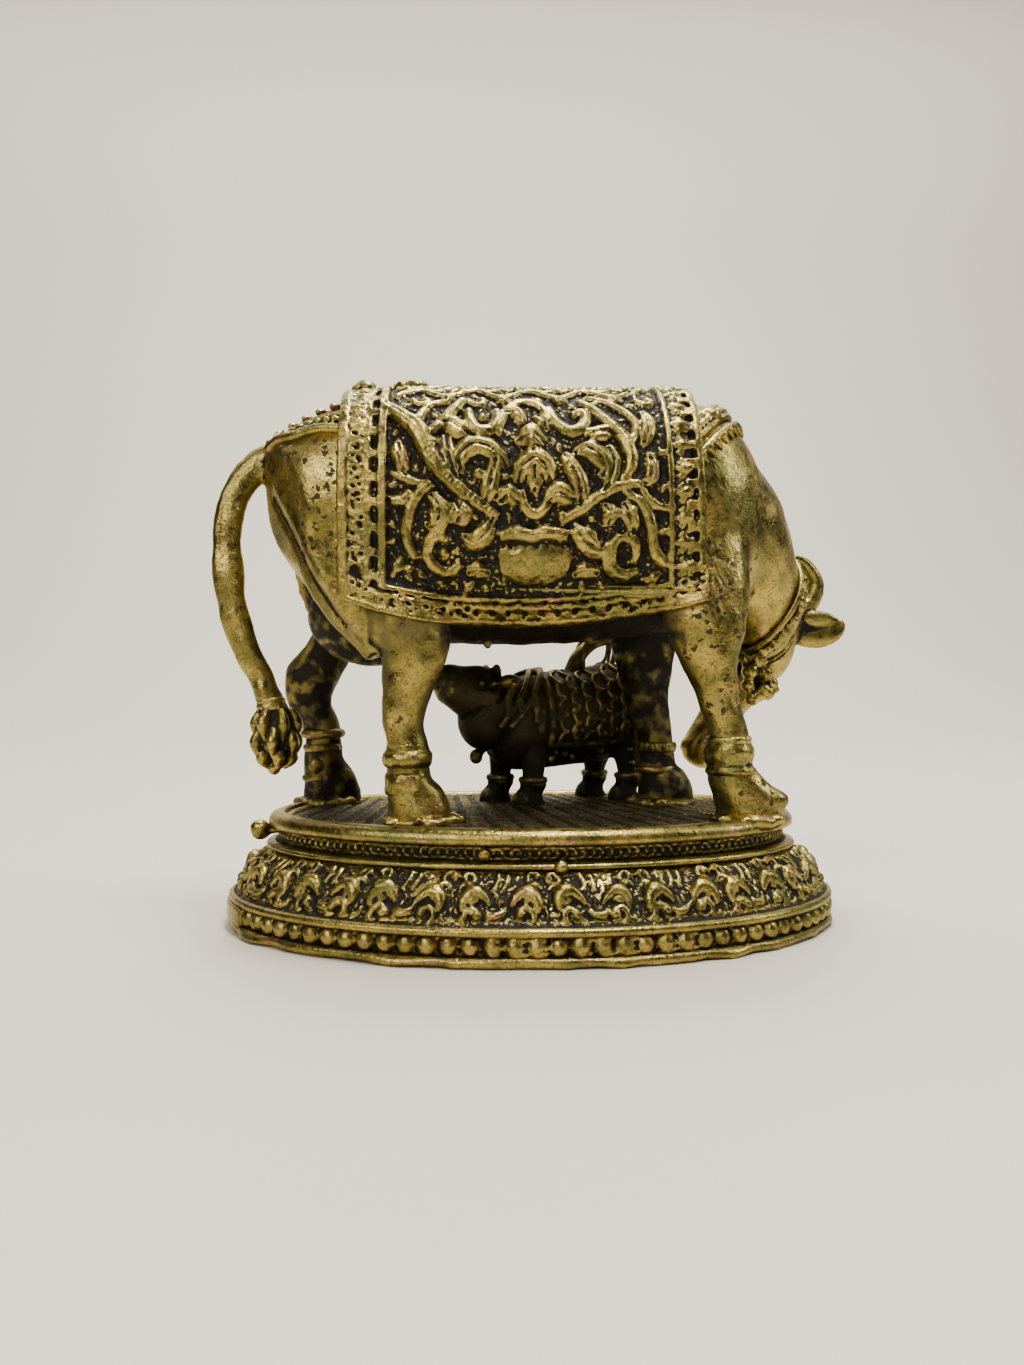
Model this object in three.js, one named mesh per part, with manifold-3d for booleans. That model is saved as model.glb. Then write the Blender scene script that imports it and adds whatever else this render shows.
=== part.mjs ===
// Cow suckling her calf on an oval plinth, cast in one piece of brass, about two inches tall.
// Millimetres, +Z up. The origin is the centre of the plinth's flat underside.
// The cow faces +X and turns her head round over +Y to the calf, which stands under her, facing back.
import * as THREE from "three";
import { mergeVertices } from "three/addons/utils/BufferGeometryUtils.js";
import Module from "manifold-3d";

const wasm = await Module();
wasm.setup();

// Driving dimensions
const PLINTH_LENGTH = 57;
const PLINTH_DEPTH = 40;
const PLINTH_TOP = 10.1; // the level that the hooves stand on
const ROOT = 9.6; // how low the hooves run into the plinth
const BACK = 49.4; // the cow's spine
const BELLY = 26;
const BODY_HALF_WIDTH = 9.6;
const CLOTH = 0.55; // how far the saddle cloth stands off the hide
const HEM = 0.35; // how much further its border bands stand
const BLANKET_REAR = -17.1;
const BLANKET_FRONT = 15.2;
const BLANKET_HEM = 28.1; // its lowest edge, at the middle
const BAND = 4.2; // width of the border bands
const BEADS = 48;
const FRIEZE_PAIRS = 16;
const CALF_PLACE = new THREE.Vector3(3.9, 8.7, 0);
const CALF_HEADING = THREE.MathUtils.degToRad(205);

const UP = new THREE.Vector3(0, 0, 1);
const FORWARD = new THREE.Vector3(1, 0, 0);

// A closed three.js geometry as a solid that can be joined and cut.
function solid(geometry) {
  const bare = geometry.index ? geometry.toNonIndexed() : geometry.clone();
  bare.deleteAttribute("normal");
  bare.deleteAttribute("uv");
  const merged = mergeVertices(bare, 1e-4);
  const made = new wasm.Manifold(
    new wasm.Mesh({
      numProp: 3,
      vertProperties: merged.attributes.position.array,
      triVerts: new Uint32Array(merged.index.array),
    }),
  );
  return made;
}

function joined(solids) {
  return solids.reduce((whole, piece) => whole.add(piece));
}

// Rings of points, lowest first, closed by a fan at each end.
function skin(rings) {
  const points = rings.flat();
  const sides = rings[0].length;
  const last = rings.length - 1;
  const faces = [];
  for (let i = 0; i < last; i++) {
    for (let j = 0; j < sides; j++) {
      const a = i * sides + j;
      const b = i * sides + ((j + 1) % sides);
      faces.push(a, b, b + sides, a, b + sides, a + sides);
    }
  }
  const middle = (ring) =>
    ring.reduce((sum, p) => sum.add(p), new THREE.Vector3()).divideScalar(sides);
  const first = points.push(middle(rings[0])) - 1;
  const end = points.push(middle(rings[last])) - 1;
  for (let j = 0; j < sides; j++) {
    const next = (j + 1) % sides;
    faces.push(first, next, j);
    faces.push(end, last * sides + j, last * sides + next);
  }
  const geometry = new THREE.BufferGeometry().setFromPoints(points);
  geometry.setIndex(faces);
  return geometry;
}

// A limb or trunk: elliptical rings along a smooth line through its stations.
// A station is [x, y, z, half width, half height]; height lies in the plane of `top` and the line.
// The rings stand square to the line, or all to `facing` where that is given.
function limb(stations, { sides = 12, steps = 1, top = UP, facing, grow = 0, square = 2 } = {}) {
  const line = new THREE.CatmullRomCurve3(
    stations.map(([x, y, z]) => new THREE.Vector3(x, y, z)),
    false,
    "centripetal",
  );
  const girth = new THREE.CatmullRomCurve3(
    stations.map(([, , , w, h]) => new THREE.Vector3(w, h, 0)),
  );
  const count = (stations.length - 1) * steps;
  const rings = [];
  for (let i = 0; i <= count; i++) {
    const t = i / count;
    const centre = line.getPoint(t);
    const size = girth.getPoint(t);
    const along = facing ?? line.getTangent(t);
    const across = new THREE.Vector3().crossVectors(top, along).normalize();
    const high = new THREE.Vector3().crossVectors(along, across);
    const ring = [];
    for (let j = 0; j < sides; j++) {
      const angle = (2 * Math.PI * j) / sides;
      const c = Math.cos(angle);
      const s = Math.sin(angle);
      const bulge = (Math.abs(c) ** square + Math.abs(s) ** square) ** (-1 / square);
      ring.push(
        centre
          .clone()
          .addScaledVector(across, c * bulge * (size.x + grow))
          .addScaledVector(high, s * bulge * (size.y + grow)),
      );
    }
    rings.push(ring);
  }
  return solid(skin(rings));
}

function ball(x, y, z, rx, ry = rx, rz = rx, sides = 8) {
  const sphere = new THREE.SphereGeometry(1, sides, sides / 2 + 1);
  return solid(sphere.scale(rx, ry, rz).translate(x, y, z));
}

// The oval plinth, turned to its moulding. A profile row is [distance in from the foot's edge, height].
function plinth() {
  const profile = [
    [0.6, 0],
    [0, 0.5],
    [0.35, 1],
    [0.35, 2.4],
    [0, 2.6],
    [0.1, 3.1],
    [0.6, 3.4],
    [1.4, 4.9],
    [3.7, 7.2],
    [3.9, 7.9],
    [4.6, 8.1],
    [4.6, 9],
    [4.05, 9.3],
    [4.2, 10.1],
    [4.8, 10.4],
    [5.3, PLINTH_TOP],
  ];
  const sides = 48;
  const rings = profile.map(([inset, z]) => {
    const ring = [];
    for (let j = 0; j < sides; j++) {
      ring.push(onPlinth((2 * Math.PI * j) / sides, inset, z));
    }
    return ring;
  });
  return solid(skin(rings));
}

function onPlinth(angle, inset, z) {
  return new THREE.Vector3(
    (PLINTH_LENGTH / 2 - inset) * Math.cos(angle),
    (PLINTH_DEPTH / 2 - inset) * Math.sin(angle),
    z,
  );
}

// Places spaced evenly by length round the oval, each with the angle its outward side faces.
function roundPlinth(count, inset, z) {
  const samples = 720;
  const oval = new THREE.CatmullRomCurve3(
    Array.from({ length: samples }, (_, i) => onPlinth((2 * Math.PI * i) / samples, inset, z)),
    true,
  );
  oval.arcLengthDivisions = 2 * samples;
  return Array.from({ length: count }, (_, i) => {
    const t = i / count;
    const along = oval.getTangentAt(t);
    return { place: oval.getPointAt(t), facing: Math.atan2(-along.x, along.y) };
  });
}

// The row of oval beads round the foot
function beads() {
  const bead = new THREE.OctahedronGeometry(1).scale(0.6, 0.9, 0.75);
  return roundPlinth(BEADS, 0.5, 1.75).map(({ place, facing }) =>
    solid(bead.clone().rotateZ(facing).translate(place.x, place.y, place.z)),
  );
}

// The frieze: pairs of leaves that curl away from each other, on the sloping band
function frieze() {
  const leaf = new THREE.OctahedronGeometry(1).scale(0.9, 1.2, 1.7);
  const tilt = -0.65; // the slope of the band, in radians
  return roundPlinth(FRIEZE_PAIRS, 1.6, 5).flatMap(({ place, facing }) =>
    [-1, 1].map((side) => {
      const curl = leaf.clone().rotateX(side * 0.6).translate(0, side * 1.5, 0);
      return solid(curl.rotateY(tilt).rotateZ(facing).translate(place.x, place.y, place.z));
    }),
  );
}

// The cow's trunk, from the root of the tail to the breast
function trunk(grow = 0) {
  const middle = (BACK + BELLY) / 2;
  const half = (BACK - BELLY) / 2;
  const stations = [
    [-25.2, 0, 41, 2, 2.4],
    [-24.2, 0, 40.2, 4.8, 5],
    [-21.2, 0, 39, 7.4, 8],
    [-17.6, 0, 38.3, 8.5, 10.4],
    [-13.6, 0, 37.9, 9.1, 11.3],
    [-8, 0, middle, 9.4, half],
    [2, 0, middle, BODY_HALF_WIDTH, half],
    [10, 0, middle + 0.4, 9.3, half - 0.3],
    [15.5, 0, 38.4, 8.5, 10.8],
    [19, 0, 38, 6.8, 9.2],
    [21.6, 0, 37.4, 4.2, 6],
    [22.6, 0, 37, 1.8, 3],
  ];
  return limb(stations, { sides: 22, facing: FORWARD, grow, square: 2.2 });
}

// Her neck bends down and round over +Y.
function neck(grow = 0) {
  const stations = [
    [12.5, 0.3, 39.2, 6.6, 8.2],
    [17.6, 1.4, 37.4, 7, 7.6],
    [21.2, 3.8, 33.6, 5.8, 5.8],
    [23.7, 6.4, 29.4, 4.5, 4.9],
    [25, 8.2, 27.2, 3.4, 3.8],
  ];
  return limb(stations, { sides: 12, steps: 2, grow });
}

// The head's own frame: +X runs from the poll to the nose, +Z out of the forehead.
function headFrame() {
  const poll = new THREE.Vector3(27, 9.8, 30.4);
  const nose = new THREE.Vector3(19.4, 14.2, 13.2);
  const along = nose.clone().sub(poll).normalize();
  const brow = new THREE.Vector3(-0.55, 0.7, 0.45);
  const side = new THREE.Vector3().crossVectors(brow, along).normalize();
  const out = new THREE.Vector3().crossVectors(along, side);
  return new THREE.Matrix4().makeBasis(along, side, out).setPosition(poll);
}

function placed(made, matrix) {
  return made.transform(matrix.elements);
}

function head() {
  const skull = limb(
    [
      [-1.2, 0, -0.6, 1.6, 1.6],
      [0.4, 0, -0.4, 2.8, 2.9],
      [4, 0, -0.3, 3.4, 3.7],
      [8.4, 0, -0.2, 2.7, 3.2],
      [13, 0, 0, 2.1, 2.4],
      [16.6, 0, 0, 2.4, 2.4],
      [18.6, 0, -0.1, 2.1, 1.9],
      [19.4, 0, -0.2, 1, 0.9],
    ],
    { sides: 12 },
  );
  const eyes = [-1, 1].map((side) => ball(5, side * 3, 1.5, 0.9, 0.6, 0.7, 6));
  return placed(joined([skull, ...eyes]), headFrame());
}

function hornsAndEars() {
  const rightHorn = [
    [27.6, 10.2, 29.8, 1.3, 1.3],
    [30.3, 11, 30.4, 1.15, 1.15],
    [31.6, 11.4, 32.8, 0.95, 0.95],
    [30.4, 11, 35, 0.7, 0.7],
    [28.8, 10.6, 35.8, 0.35, 0.35],
  ];
  const leftHorn = [
    [26, 11, 31, 1.3, 1.3],
    [24.6, 12.6, 32.6, 1.15, 1.15],
    [24.4, 13.6, 35, 0.95, 0.95],
    [25.8, 13.4, 36.9, 0.7, 0.7],
    [27, 12.8, 37.4, 0.35, 0.35],
  ];
  const rightEar = [
    [27.2, 9.9, 28.6, 0.8, 1.2],
    [29.2, 10, 28.2, 0.75, 1.9],
    [31.4, 9.9, 28, 0.7, 2],
    [33.3, 9.8, 28.3, 0.6, 1.4],
    [34.3, 9.6, 28.7, 0.3, 0.6],
  ];
  const leftEar = [
    [25.2, 8.6, 27.6, 0.6, 0.8],
    [24, 7.4, 26.2, 0.7, 1.4],
    [23.2, 6.8, 24.2, 0.6, 1.2],
    [22.8, 6.6, 22.6, 0.3, 0.5],
  ];
  return joined([
    limb(rightHorn, { sides: 7 }),
    limb(leftHorn, { sides: 7, top: FORWARD }),
    limb(rightEar, { sides: 8 }),
    limb(leftEar, { sides: 8, top: FORWARD }),
  ]);
}

// One of the cow's legs down to its hoof, which points towards +X. The anklet is at [x, y, z].
function leg(upper, [x, y, z], reach = 1) {
  const stations = [
    ...upper,
    [x, y, z + 1.1, 1.8, 1.85],
    [x, y, z, 2.3, 2.35],
    [x + 0.1, y, z - 1.2, 1.85, 1.95],
    [x + 0.1, y, z - 2.4, 2, 2.1],
    [x + 0.9 * reach, y, 11.4, 2.2, 2.9],
    [x + reach, y, ROOT, 2.3, 3],
  ];
  return limb(stations, { sides: 10, top: FORWARD });
}

function legs() {
  const nearHind = leg(
    [
      [-17, -4.4, 38, 3.7, 6],
      [-15, -5.8, 33, 3.6, 5.3],
      [-12.3, -6.6, 29, 3.4, 4.7],
      [-10.9, -7.4, 25.6, 2.8, 3.3],
      [-11.5, -7.8, 22, 2.1, 2.4],
    ],
    [-11.5, -8, 15.6],
  );
  const farHind = leg(
    [
      [-20, 4.2, 38, 3.7, 5.2],
      [-20.6, 5.4, 33, 3.4, 4.7],
      [-20.6, 6.3, 28.6, 3, 4],
      [-21.2, 6.8, 25.2, 2.5, 3.2],
      [-22.3, 7, 22, 2.1, 2.6],
      [-21.9, 7, 19.4, 1.8, 2],
    ],
    [-20.9, 7, 16.6],
  );
  const nearFront = leg(
    [
      [14.6, -4.4, 37, 3.3, 5],
      [15.2, -6, 31.4, 3.2, 4.5],
      [15.3, -7.2, 27, 2.7, 3.6],
      [15.8, -7.6, 23, 2, 2.3],
    ],
    [17.2, -7.8, 16.5],
    1.8,
  );
  const farFront = leg(
    [
      [12.6, 4, 37, 3.3, 5],
      [12, 5, 31, 3.1, 4.2],
      [11.8, 5.4, 26, 2.7, 3.3],
      [12.1, 5.5, 21, 2, 2.3],
    ],
    [13, 5.5, 15.8],
  );
  return joined([nearHind, farHind, nearFront, farFront]);
}

function tail() {
  return limb(
    [
      [-24, 0, 43.6, 1.6, 1.7],
      [-26.1, -0.4, 43, 1.5, 1.6],
      [-28.1, -1.2, 39.8, 1.3, 1.25],
      [-28.7, -2, 35.6, 1.3, 1.2],
      [-28.1, -2.4, 30.2, 1.3, 1.3],
      [-26.7, -2.6, 25.7, 1.1, 1.1],
      [-25, -2.6, 22.4, 1, 1],
      [-24.6, -2.6, 21.3, 1.4, 1.4],
      [-23.7, -2.6, 18.6, 2.3, 2.3],
      [-23.8, -2.6, 16.4, 1.9, 1.9],
      [-24.2, -2.6, 14.2, 0.5, 0.5],
    ],
    { sides: 8, top: FORWARD },
  );
}

function udder() {
  const bag = ball(-15, 0.3, 27.2, 6.9, 4.3, 3.8, 12);
  const teats = [-1, 1].map((across) => ball(-10.8, 0.3 + across * 1.6, 24.3, 0.6, 0.6, 1.4, 6));
  return joined([bag, ...teats]);
}

// The side view of the saddle cloth as an outline in X and Z, drawn in by `inset`.
function blanketOutline(inset = 0) {
  const sag = 1.4; // how much lower the hem hangs at its middle
  const rear = BLANKET_REAR + inset;
  const front = BLANKET_FRONT - inset;
  const hem = BLANKET_HEM + inset;
  const shape = new THREE.Shape();
  shape.moveTo(rear, BACK + 4);
  shape.lineTo(rear, hem + sag);
  shape.quadraticCurveTo((rear + front) / 2, hem - sag, front, hem + sag);
  shape.lineTo(front - 0.8, BACK + 4);
  shape.closePath();
  return shape;
}

function uprightPrism(shape, halfWidth) {
  const geometry = new THREE.ExtrudeGeometry(shape, {
    depth: 2 * halfWidth,
    bevelEnabled: false,
    curveSegments: 4,
  });
  return solid(geometry.rotateX(Math.PI / 2).translate(0, halfWidth, 0));
}

// The saddle cloth: a thin sheet over the back with a raised border on three sides
function blanket() {
  const reach = 2 * BODY_HALF_WIDTH;
  const whole = uprightPrism(blanketOutline(), reach);
  const field = uprightPrism(blanketOutline(BAND), reach);
  const sheet = trunk(CLOTH).intersect(whole);
  const border = trunk(CLOTH + HEM).intersect(whole.subtract(field));
  return sheet.add(border);
}

// The potted plant worked in the middle of each flank of the cloth: a pot, a bud and pairs of leaves
function flowers() {
  const middle = (BLANKET_REAR + BLANKET_FRONT) / 2;
  const bud = [0, 39.5, 1.3, 1.8, 0]; // [from the middle, height, half width, half height, turn]
  const leaves = [
    [4.4, 39.8, 1.1, 2.3, 0.5],
    [8.4, 34.4, 1.2, 1.8, 0.9],
    [8.6, 42.6, 1, 2, -0.8],
  ];
  const mirrored = leaves.map(([across, z, w, h, turn]) => [-across, z, w, h, -turn]);
  const potOutline = [
    [0, -1.8],
    [2.4, -1.8],
    [3.4, -0.6],
    [3, 0.8],
    [3.4, 1.9],
    [0, 1.9],
  ];
  const pot = new THREE.LatheGeometry(
    potOutline.map(([r, z]) => new THREE.Vector2(r, z)),
    8,
  );
  pot.rotateX(Math.PI / 2).scale(1, 0.28, 1);
  const pieces = [];
  for (const flank of [-1, 1]) {
    const surface = flank * (BODY_HALF_WIDTH + 0.15);
    pieces.push(solid(pot.clone().translate(middle, surface - flank * 0.35, 32.2)));
    for (const [across, z, w, h, turn] of [bud, ...leaves, ...mirrored]) {
      const bump = new THREE.IcosahedronGeometry(1).scale(w, 0.8, h).rotateY(turn);
      const lean = (z - 38) * 0.07 + 0.1; // the flank draws in towards the back
      pieces.push(solid(bump.translate(middle + across, surface - flank * lean, z)));
    }
  }
  return pieces;
}

// The strap that runs along the spine from the cloth to the tail
function crupper() {
  const halfWidth = 2.9;
  const box = new THREE.BoxGeometry(8.4, 2 * halfWidth, 10).translate(-21, 0, 49);
  return trunk(CLOTH).intersect(solid(box));
}

// The collar that lies over the root of the neck, in front of the cloth
function collar() {
  const halfWidth = 1.7;
  const slab = new THREE.BoxGeometry(2 * halfWidth, 40, 24);
  const facing = new THREE.Vector3(0.76, -0.2, -0.62).normalize();
  slab.applyQuaternion(new THREE.Quaternion().setFromUnitVectors(FORWARD, facing));
  slab.translate(17.6, -2, 46.4);
  const above = new THREE.BoxGeometry(20, 40, 10).translate(17, 0, 48.2);
  const hide = trunk(CLOTH + HEM).add(neck(CLOTH));
  return hide.intersect(solid(slab)).intersect(solid(above));
}

// A garland round the neck behind the head, with a bunch of bells at the throat
function garland() {
  const ring = new THREE.TorusGeometry(4.9, 1, 5, 12).scale(1, 0.94, 1);
  const facing = new THREE.Vector3(0.74, 0.5, -0.45).normalize();
  ring.applyQuaternion(new THREE.Quaternion().setFromUnitVectors(UP, facing));
  ring.translate(23.8, 6.2, 29.2);
  const bells = [ball(23.2, 4.6, 22.9, 1.8, 1.5, 2), ball(24.6, 4.6, 21.4, 0.8, 0.8, 0.8, 6)];
  return joined([solid(ring), ...bells]);
}

// The calf in its own frame: +X the way it faces, +Y to its left, its feet at z = ROOT
function calf() {
  const body = limb(
    [
      [-8.8, 0, 20.4, 1.2, 1.4],
      [-8, 0, 19.8, 2.8, 3.7],
      [-5.4, 0, 19.3, 3.6, 5.2],
      [-1, 0, 18.6, 3.9, 4.9],
      [3.4, 0, 18.4, 3.9, 5],
      [6.6, 0, 17.9, 3.3, 4.4],
      [8.6, 0, 17.2, 1.6, 2.4],
    ],
    { sides: 12 },
  );
  const throat = limb(
    [
      [3.4, 0, 19.4, 3, 3.6],
      [7.6, 0.2, 19.2, 2.7, 3.6],
      [10.6, 0.5, 20.4, 2.3, 2.7],
    ],
    { sides: 8 },
  );
  const face = limb(
    [
      [8, 0.3, 21.2, 1.3, 1.3],
      [9.2, 0.4, 21.4, 2.2, 2.2],
      [11.2, 0.6, 21.7, 2, 2.1],
      [13, 0.8, 22.1, 1.5, 1.7],
      [14.1, 0.9, 22.4, 1.4, 1.4],
      [14.8, 1, 22.5, 0.7, 0.7],
    ],
    { sides: 8 },
  );
  const pieces = [body, throat, face];
  const feet = [
    [4.9, 2.3],
    [6.3, -2.2],
    [-6.6, 2.2],
    [-5.2, -2.2],
  ];
  for (const [x, y] of feet) {
    const bulk = x < 0 ? 1.35 : 1;
    const stations = [
      [x - 0.1, y * 0.8, 18, 1.5 * bulk, 2 * bulk],
      [x - 0.1 * bulk, y * 0.95, 14.8, 1.25, 1.4 * bulk],
      [x, y, 12.8, 1.05, 1.1],
      [x, y, 12.2, 1.35, 1.4],
      [x + 0.2, y, 11.4, 1.1, 1.2],
      [x + 0.5, y, 10.5, 1.35, 1.8],
      [x + 0.5, y, ROOT, 1.35, 1.8],
    ];
    pieces.push(limb(stations, { sides: 8, top: FORWARD }));
  }
  for (const side of [-1, 1]) {
    const ear = [
      [8.6, 0.3 + side * 1.4, 22, 0.6, 0.5],
      [8, 0.3 + side * 2.9, 22.4, 0.9, 0.6],
      [7.5, 0.3 + side * 4, 22.5, 0.4, 0.3],
    ];
    pieces.push(limb(ear, { sides: 6 }));
  }
  const brush = limb(
    [
      [-8.2, 0, 21.4, 0.8, 0.8],
      [-9.4, 0, 24, 0.7, 0.7],
      [-7.6, 0, 26.6, 0.65, 0.65],
      [-4.4, 0, 26.7, 0.65, 0.65],
      [-2, 0, 25.2, 0.8, 0.8],
      [-0.8, 0, 23, 0.9, 0.9],
    ],
    { sides: 6, top: new THREE.Vector3(0, 1, 0) },
  );
  const band = new THREE.TorusGeometry(3.6, 0.8, 5, 9).scale(1.25, 0.95, 1);
  band.rotateY(Math.PI / 2 - 0.45).translate(6.2, 0.1, 18.8);
  const bell = ball(10.3, 0.3, 14.9, 0.7, 0.7, 0.8, 6);
  const cord = limb(
    [
      [8, 0.2, 17, 0.8, 0.8],
      [10.3, 0.3, 15, 0.5, 0.5],
    ],
    { sides: 6 },
  );
  pieces.push(brush, solid(band), bell, cord);
  const facing = new THREE.Matrix4().makeRotationZ(CALF_HEADING).setPosition(CALF_PLACE);
  return placed(joined(pieces), facing);
}

// Round beads of metal that leaked into bubbles in the mould and were left on the casting
function castingBeads() {
  return [
    ball(-24.7, -2.5, 8.8, 1.1, 1.1, 1.1),
    ball(-4.9, -15.6, 8.3, 0.6, 0.6, 0.6, 6),
    ball(1.3, -16.4, 7.3, 0.65, 0.65, 0.65, 6),
  ];
}

function mesh(name, made, material) {
  const { numProp, vertProperties, triVerts } = made.getMesh();
  const position = new THREE.Float32BufferAttribute(vertProperties, numProp);
  const geometry = new THREE.BufferGeometry().setAttribute("position", position);
  geometry.setIndex(new THREE.BufferAttribute(triVerts, 1));
  geometry.computeVertexNormals();
  const piece = new THREE.Mesh(geometry, material);
  piece.name = name;
  return piece;
}

const brass = new THREE.MeshStandardMaterial({ color: 0xa08a48, roughness: 0.38, metalness: 1 });

const cow = joined([
  trunk(),
  neck(),
  head(),
  hornsAndEars(),
  legs(),
  tail(),
  udder(),
  blanket(),
  ...flowers(),
  crupper(),
  collar(),
  garland(),
]);
const base = joined([plinth(), ...beads(), ...frieze(), ...castingBeads()]);
const casting = joined([base, cow, calf()]);

const statue = new THREE.Group();
statue.add(mesh("cow_and_calf_casting", casting, brass));

export default statue;
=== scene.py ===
# %% [markdown]
# # Cow and calf, cast in brass
# A cow stands on an oval plinth and turns her head round to the calf that drinks under her. The real
# figure is about two inches tall and was cast in one pour by the lost wax method: a maker builds the
# whole figure in wax, presses threads, beads and sheets of wax on it for the ornament, buries it in
# clay, melts the wax out and pours brass in. This lesson follows the same order. Forms are drawn out
# ring by ring, the ornament is laid flat and then wrapped round them, and what was one lump of metal is
# melted together.

# %% Load the frame
import math
import random

import bpy
import numpy as np
from mathutils import Matrix, Vector, noise
from mathutils.bvhtree import BVHTree


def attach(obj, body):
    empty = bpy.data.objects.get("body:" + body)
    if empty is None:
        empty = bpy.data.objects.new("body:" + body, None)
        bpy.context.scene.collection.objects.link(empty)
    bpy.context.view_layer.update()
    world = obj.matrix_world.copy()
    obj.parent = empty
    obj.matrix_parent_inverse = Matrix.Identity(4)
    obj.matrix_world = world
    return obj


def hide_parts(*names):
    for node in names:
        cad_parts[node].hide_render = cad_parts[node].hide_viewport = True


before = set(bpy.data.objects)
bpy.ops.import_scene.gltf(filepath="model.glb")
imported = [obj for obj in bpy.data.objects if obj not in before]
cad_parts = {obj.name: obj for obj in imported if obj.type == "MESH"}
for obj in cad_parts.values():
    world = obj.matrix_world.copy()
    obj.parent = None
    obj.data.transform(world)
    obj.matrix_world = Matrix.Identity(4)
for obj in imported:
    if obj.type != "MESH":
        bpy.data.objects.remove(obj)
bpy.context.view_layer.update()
CASTING = "cow_and_calf_casting"
COARSE = 1

# %% [markdown]
# ## Camera
# The photograph was taken close up, level with the cow's knees. Its lens, distance and height were
# worked out from the plinth's ellipses. She stands a little askew to it, so the camera goes round by
# the same small angle.

# %% Camera
TURN = math.radians(-2.7)
FOCAL_PIXELS = 1050
IMAGE_HEIGHT = 1365
SENSOR = 36
STANDOFF = Vector((-0.0019, -0.10114, 0.0223))

eye = bpy.data.cameras.new("camera")
eye.sensor_width = SENSOR
eye.lens = FOCAL_PIXELS / IMAGE_HEIGHT * SENSOR
eye.clip_start = 0.005
camera = bpy.data.objects.new("camera", eye)
bpy.context.scene.collection.objects.link(camera)
camera.location = Matrix.Rotation(TURN, 3, "Z") @ STANDOFF
camera.rotation_euler = (math.pi / 2, 0, TURN)
bpy.context.scene.camera = camera
print("lens", round(eye.lens, 1), "mm")

# %% [markdown]
# ## Floor and light
# The figure stands on a pale sheet that curves up behind it, so no horizon shows. A plane is enough to
# start from: its far edge is extruded back and up, and the fold between the two is bevelled into a
# curve.

# %% Floor and backdrop


def put_down():
    """Leaves edit mode and lets go of everything."""
    if bpy.context.mode != "OBJECT":
        bpy.ops.object.mode_set(mode="OBJECT")
    bpy.ops.object.select_all(action="DESELECT")


def pick_up(*pieces):
    """Selects these pieces and no others, the first one active."""
    put_down()
    for piece in pieces:
        piece.select_set(True)
    bpy.context.view_layer.objects.active = pieces[0]


def opened(piece, kind="VERT", action="DESELECT"):
    """Opens a piece in edit mode, with none or all of its corners, edges or faces selected."""
    pick_up(piece)
    bpy.ops.object.mode_set(mode="EDIT")
    bpy.ops.mesh.select_mode(type=kind)
    bpy.ops.mesh.select_all(action=action)


def apply_last(piece):
    """Applies the modifier that was added last."""
    pick_up(piece)
    bpy.ops.object.modifier_apply(modifier=piece.modifiers[-1].name)


def plain_paper(name, colour, roughness):
    """Matt paper with faint clouds."""
    paper = bpy.data.materials.new(name)
    paper.use_nodes = True
    nodes = paper.node_tree.nodes
    links = paper.node_tree.links
    shader = nodes["Principled BSDF"]
    shader.inputs["Roughness"].default_value = roughness
    where = nodes.new("ShaderNodeTexCoord")
    cloud = nodes.new("ShaderNodeTexNoise")
    cloud.inputs["Scale"].default_value = 4
    links.new(where.outputs["Object"], cloud.inputs["Vector"])
    tint = nodes.new("ShaderNodeValToRGB")
    tint.color_ramp.elements[0].color = (*[0.94 * c for c in colour], 1)
    tint.color_ramp.elements[1].color = (*colour, 1)
    links.new(cloud.outputs["Fac"], tint.inputs["Fac"])
    links.new(tint.outputs["Color"], shader.inputs["Base Color"])
    return paper


put_down()
SHEET = 1.6
SHEET_RISE = (0, 0.15, 0.9)
CURVE = 0.35
bpy.ops.mesh.primitive_plane_add(size=SHEET, location=(0, -0.2, 0))
sheet = bpy.context.object
sheet.name = "backdrop_sheet"
opened(sheet, "EDGE")
bpy.ops.object.mode_set(mode="OBJECT")
for edge in sheet.data.edges:
    edge.select = all(sheet.data.vertices[i].co.y > 0 for i in edge.vertices)
bpy.ops.object.mode_set(mode="EDIT")
bpy.ops.mesh.extrude_region_move(TRANSFORM_OT_translate={"value": SHEET_RISE})
bpy.ops.object.mode_set(mode="OBJECT")
for edge in sheet.data.edges:
    ends = [sheet.data.vertices[i].co for i in edge.vertices]
    edge.select = all(end.y > 0.7 and end.z < 0.1 for end in ends)
bpy.ops.object.mode_set(mode="EDIT")
bpy.ops.mesh.bevel(offset=CURVE, segments=24, affect="EDGES")
pick_up(sheet)
bpy.ops.object.shade_smooth()
bpy.ops.object.transform_apply()
PAPER = (0.715, 0.675, 0.585)
sheet.data.materials.append(plain_paper("pale paper", PAPER, 0.55))
print("backdrop", [round(side, 2) for side in sheet.dimensions], "m")

# %% [markdown]
# ## Lamps
# Brass shows little but what it reflects, so each lamp is a soft rectangle that draws its own bright
# line. The one overhead lights the back and the rims, the left one the flank, the right one the neck,
# the low one the plinth's foot, and the last one the sheet behind. Small lamps would put a hard white
# dot on every bump of the ornament.

# %% Lamps


def soft_lamp(name, place, aim, size, power, colour):
    """A rectangle of light at place that faces aim. Its size is across and up, in metres."""
    lamp = bpy.data.lights.new(name, "AREA")
    lamp.shape = "RECTANGLE"
    lamp.size = size[0]
    lamp.size_y = size[1]
    lamp.energy = power
    lamp.color = colour
    stand = bpy.data.objects.new(name, lamp)
    bpy.context.scene.collection.objects.link(stand)
    stand.location = place
    way = Vector(aim) - Vector(place)
    stand.rotation_euler = way.to_track_quat("-Z", "Y").to_euler()
    print(name, power, "watts")


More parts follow.
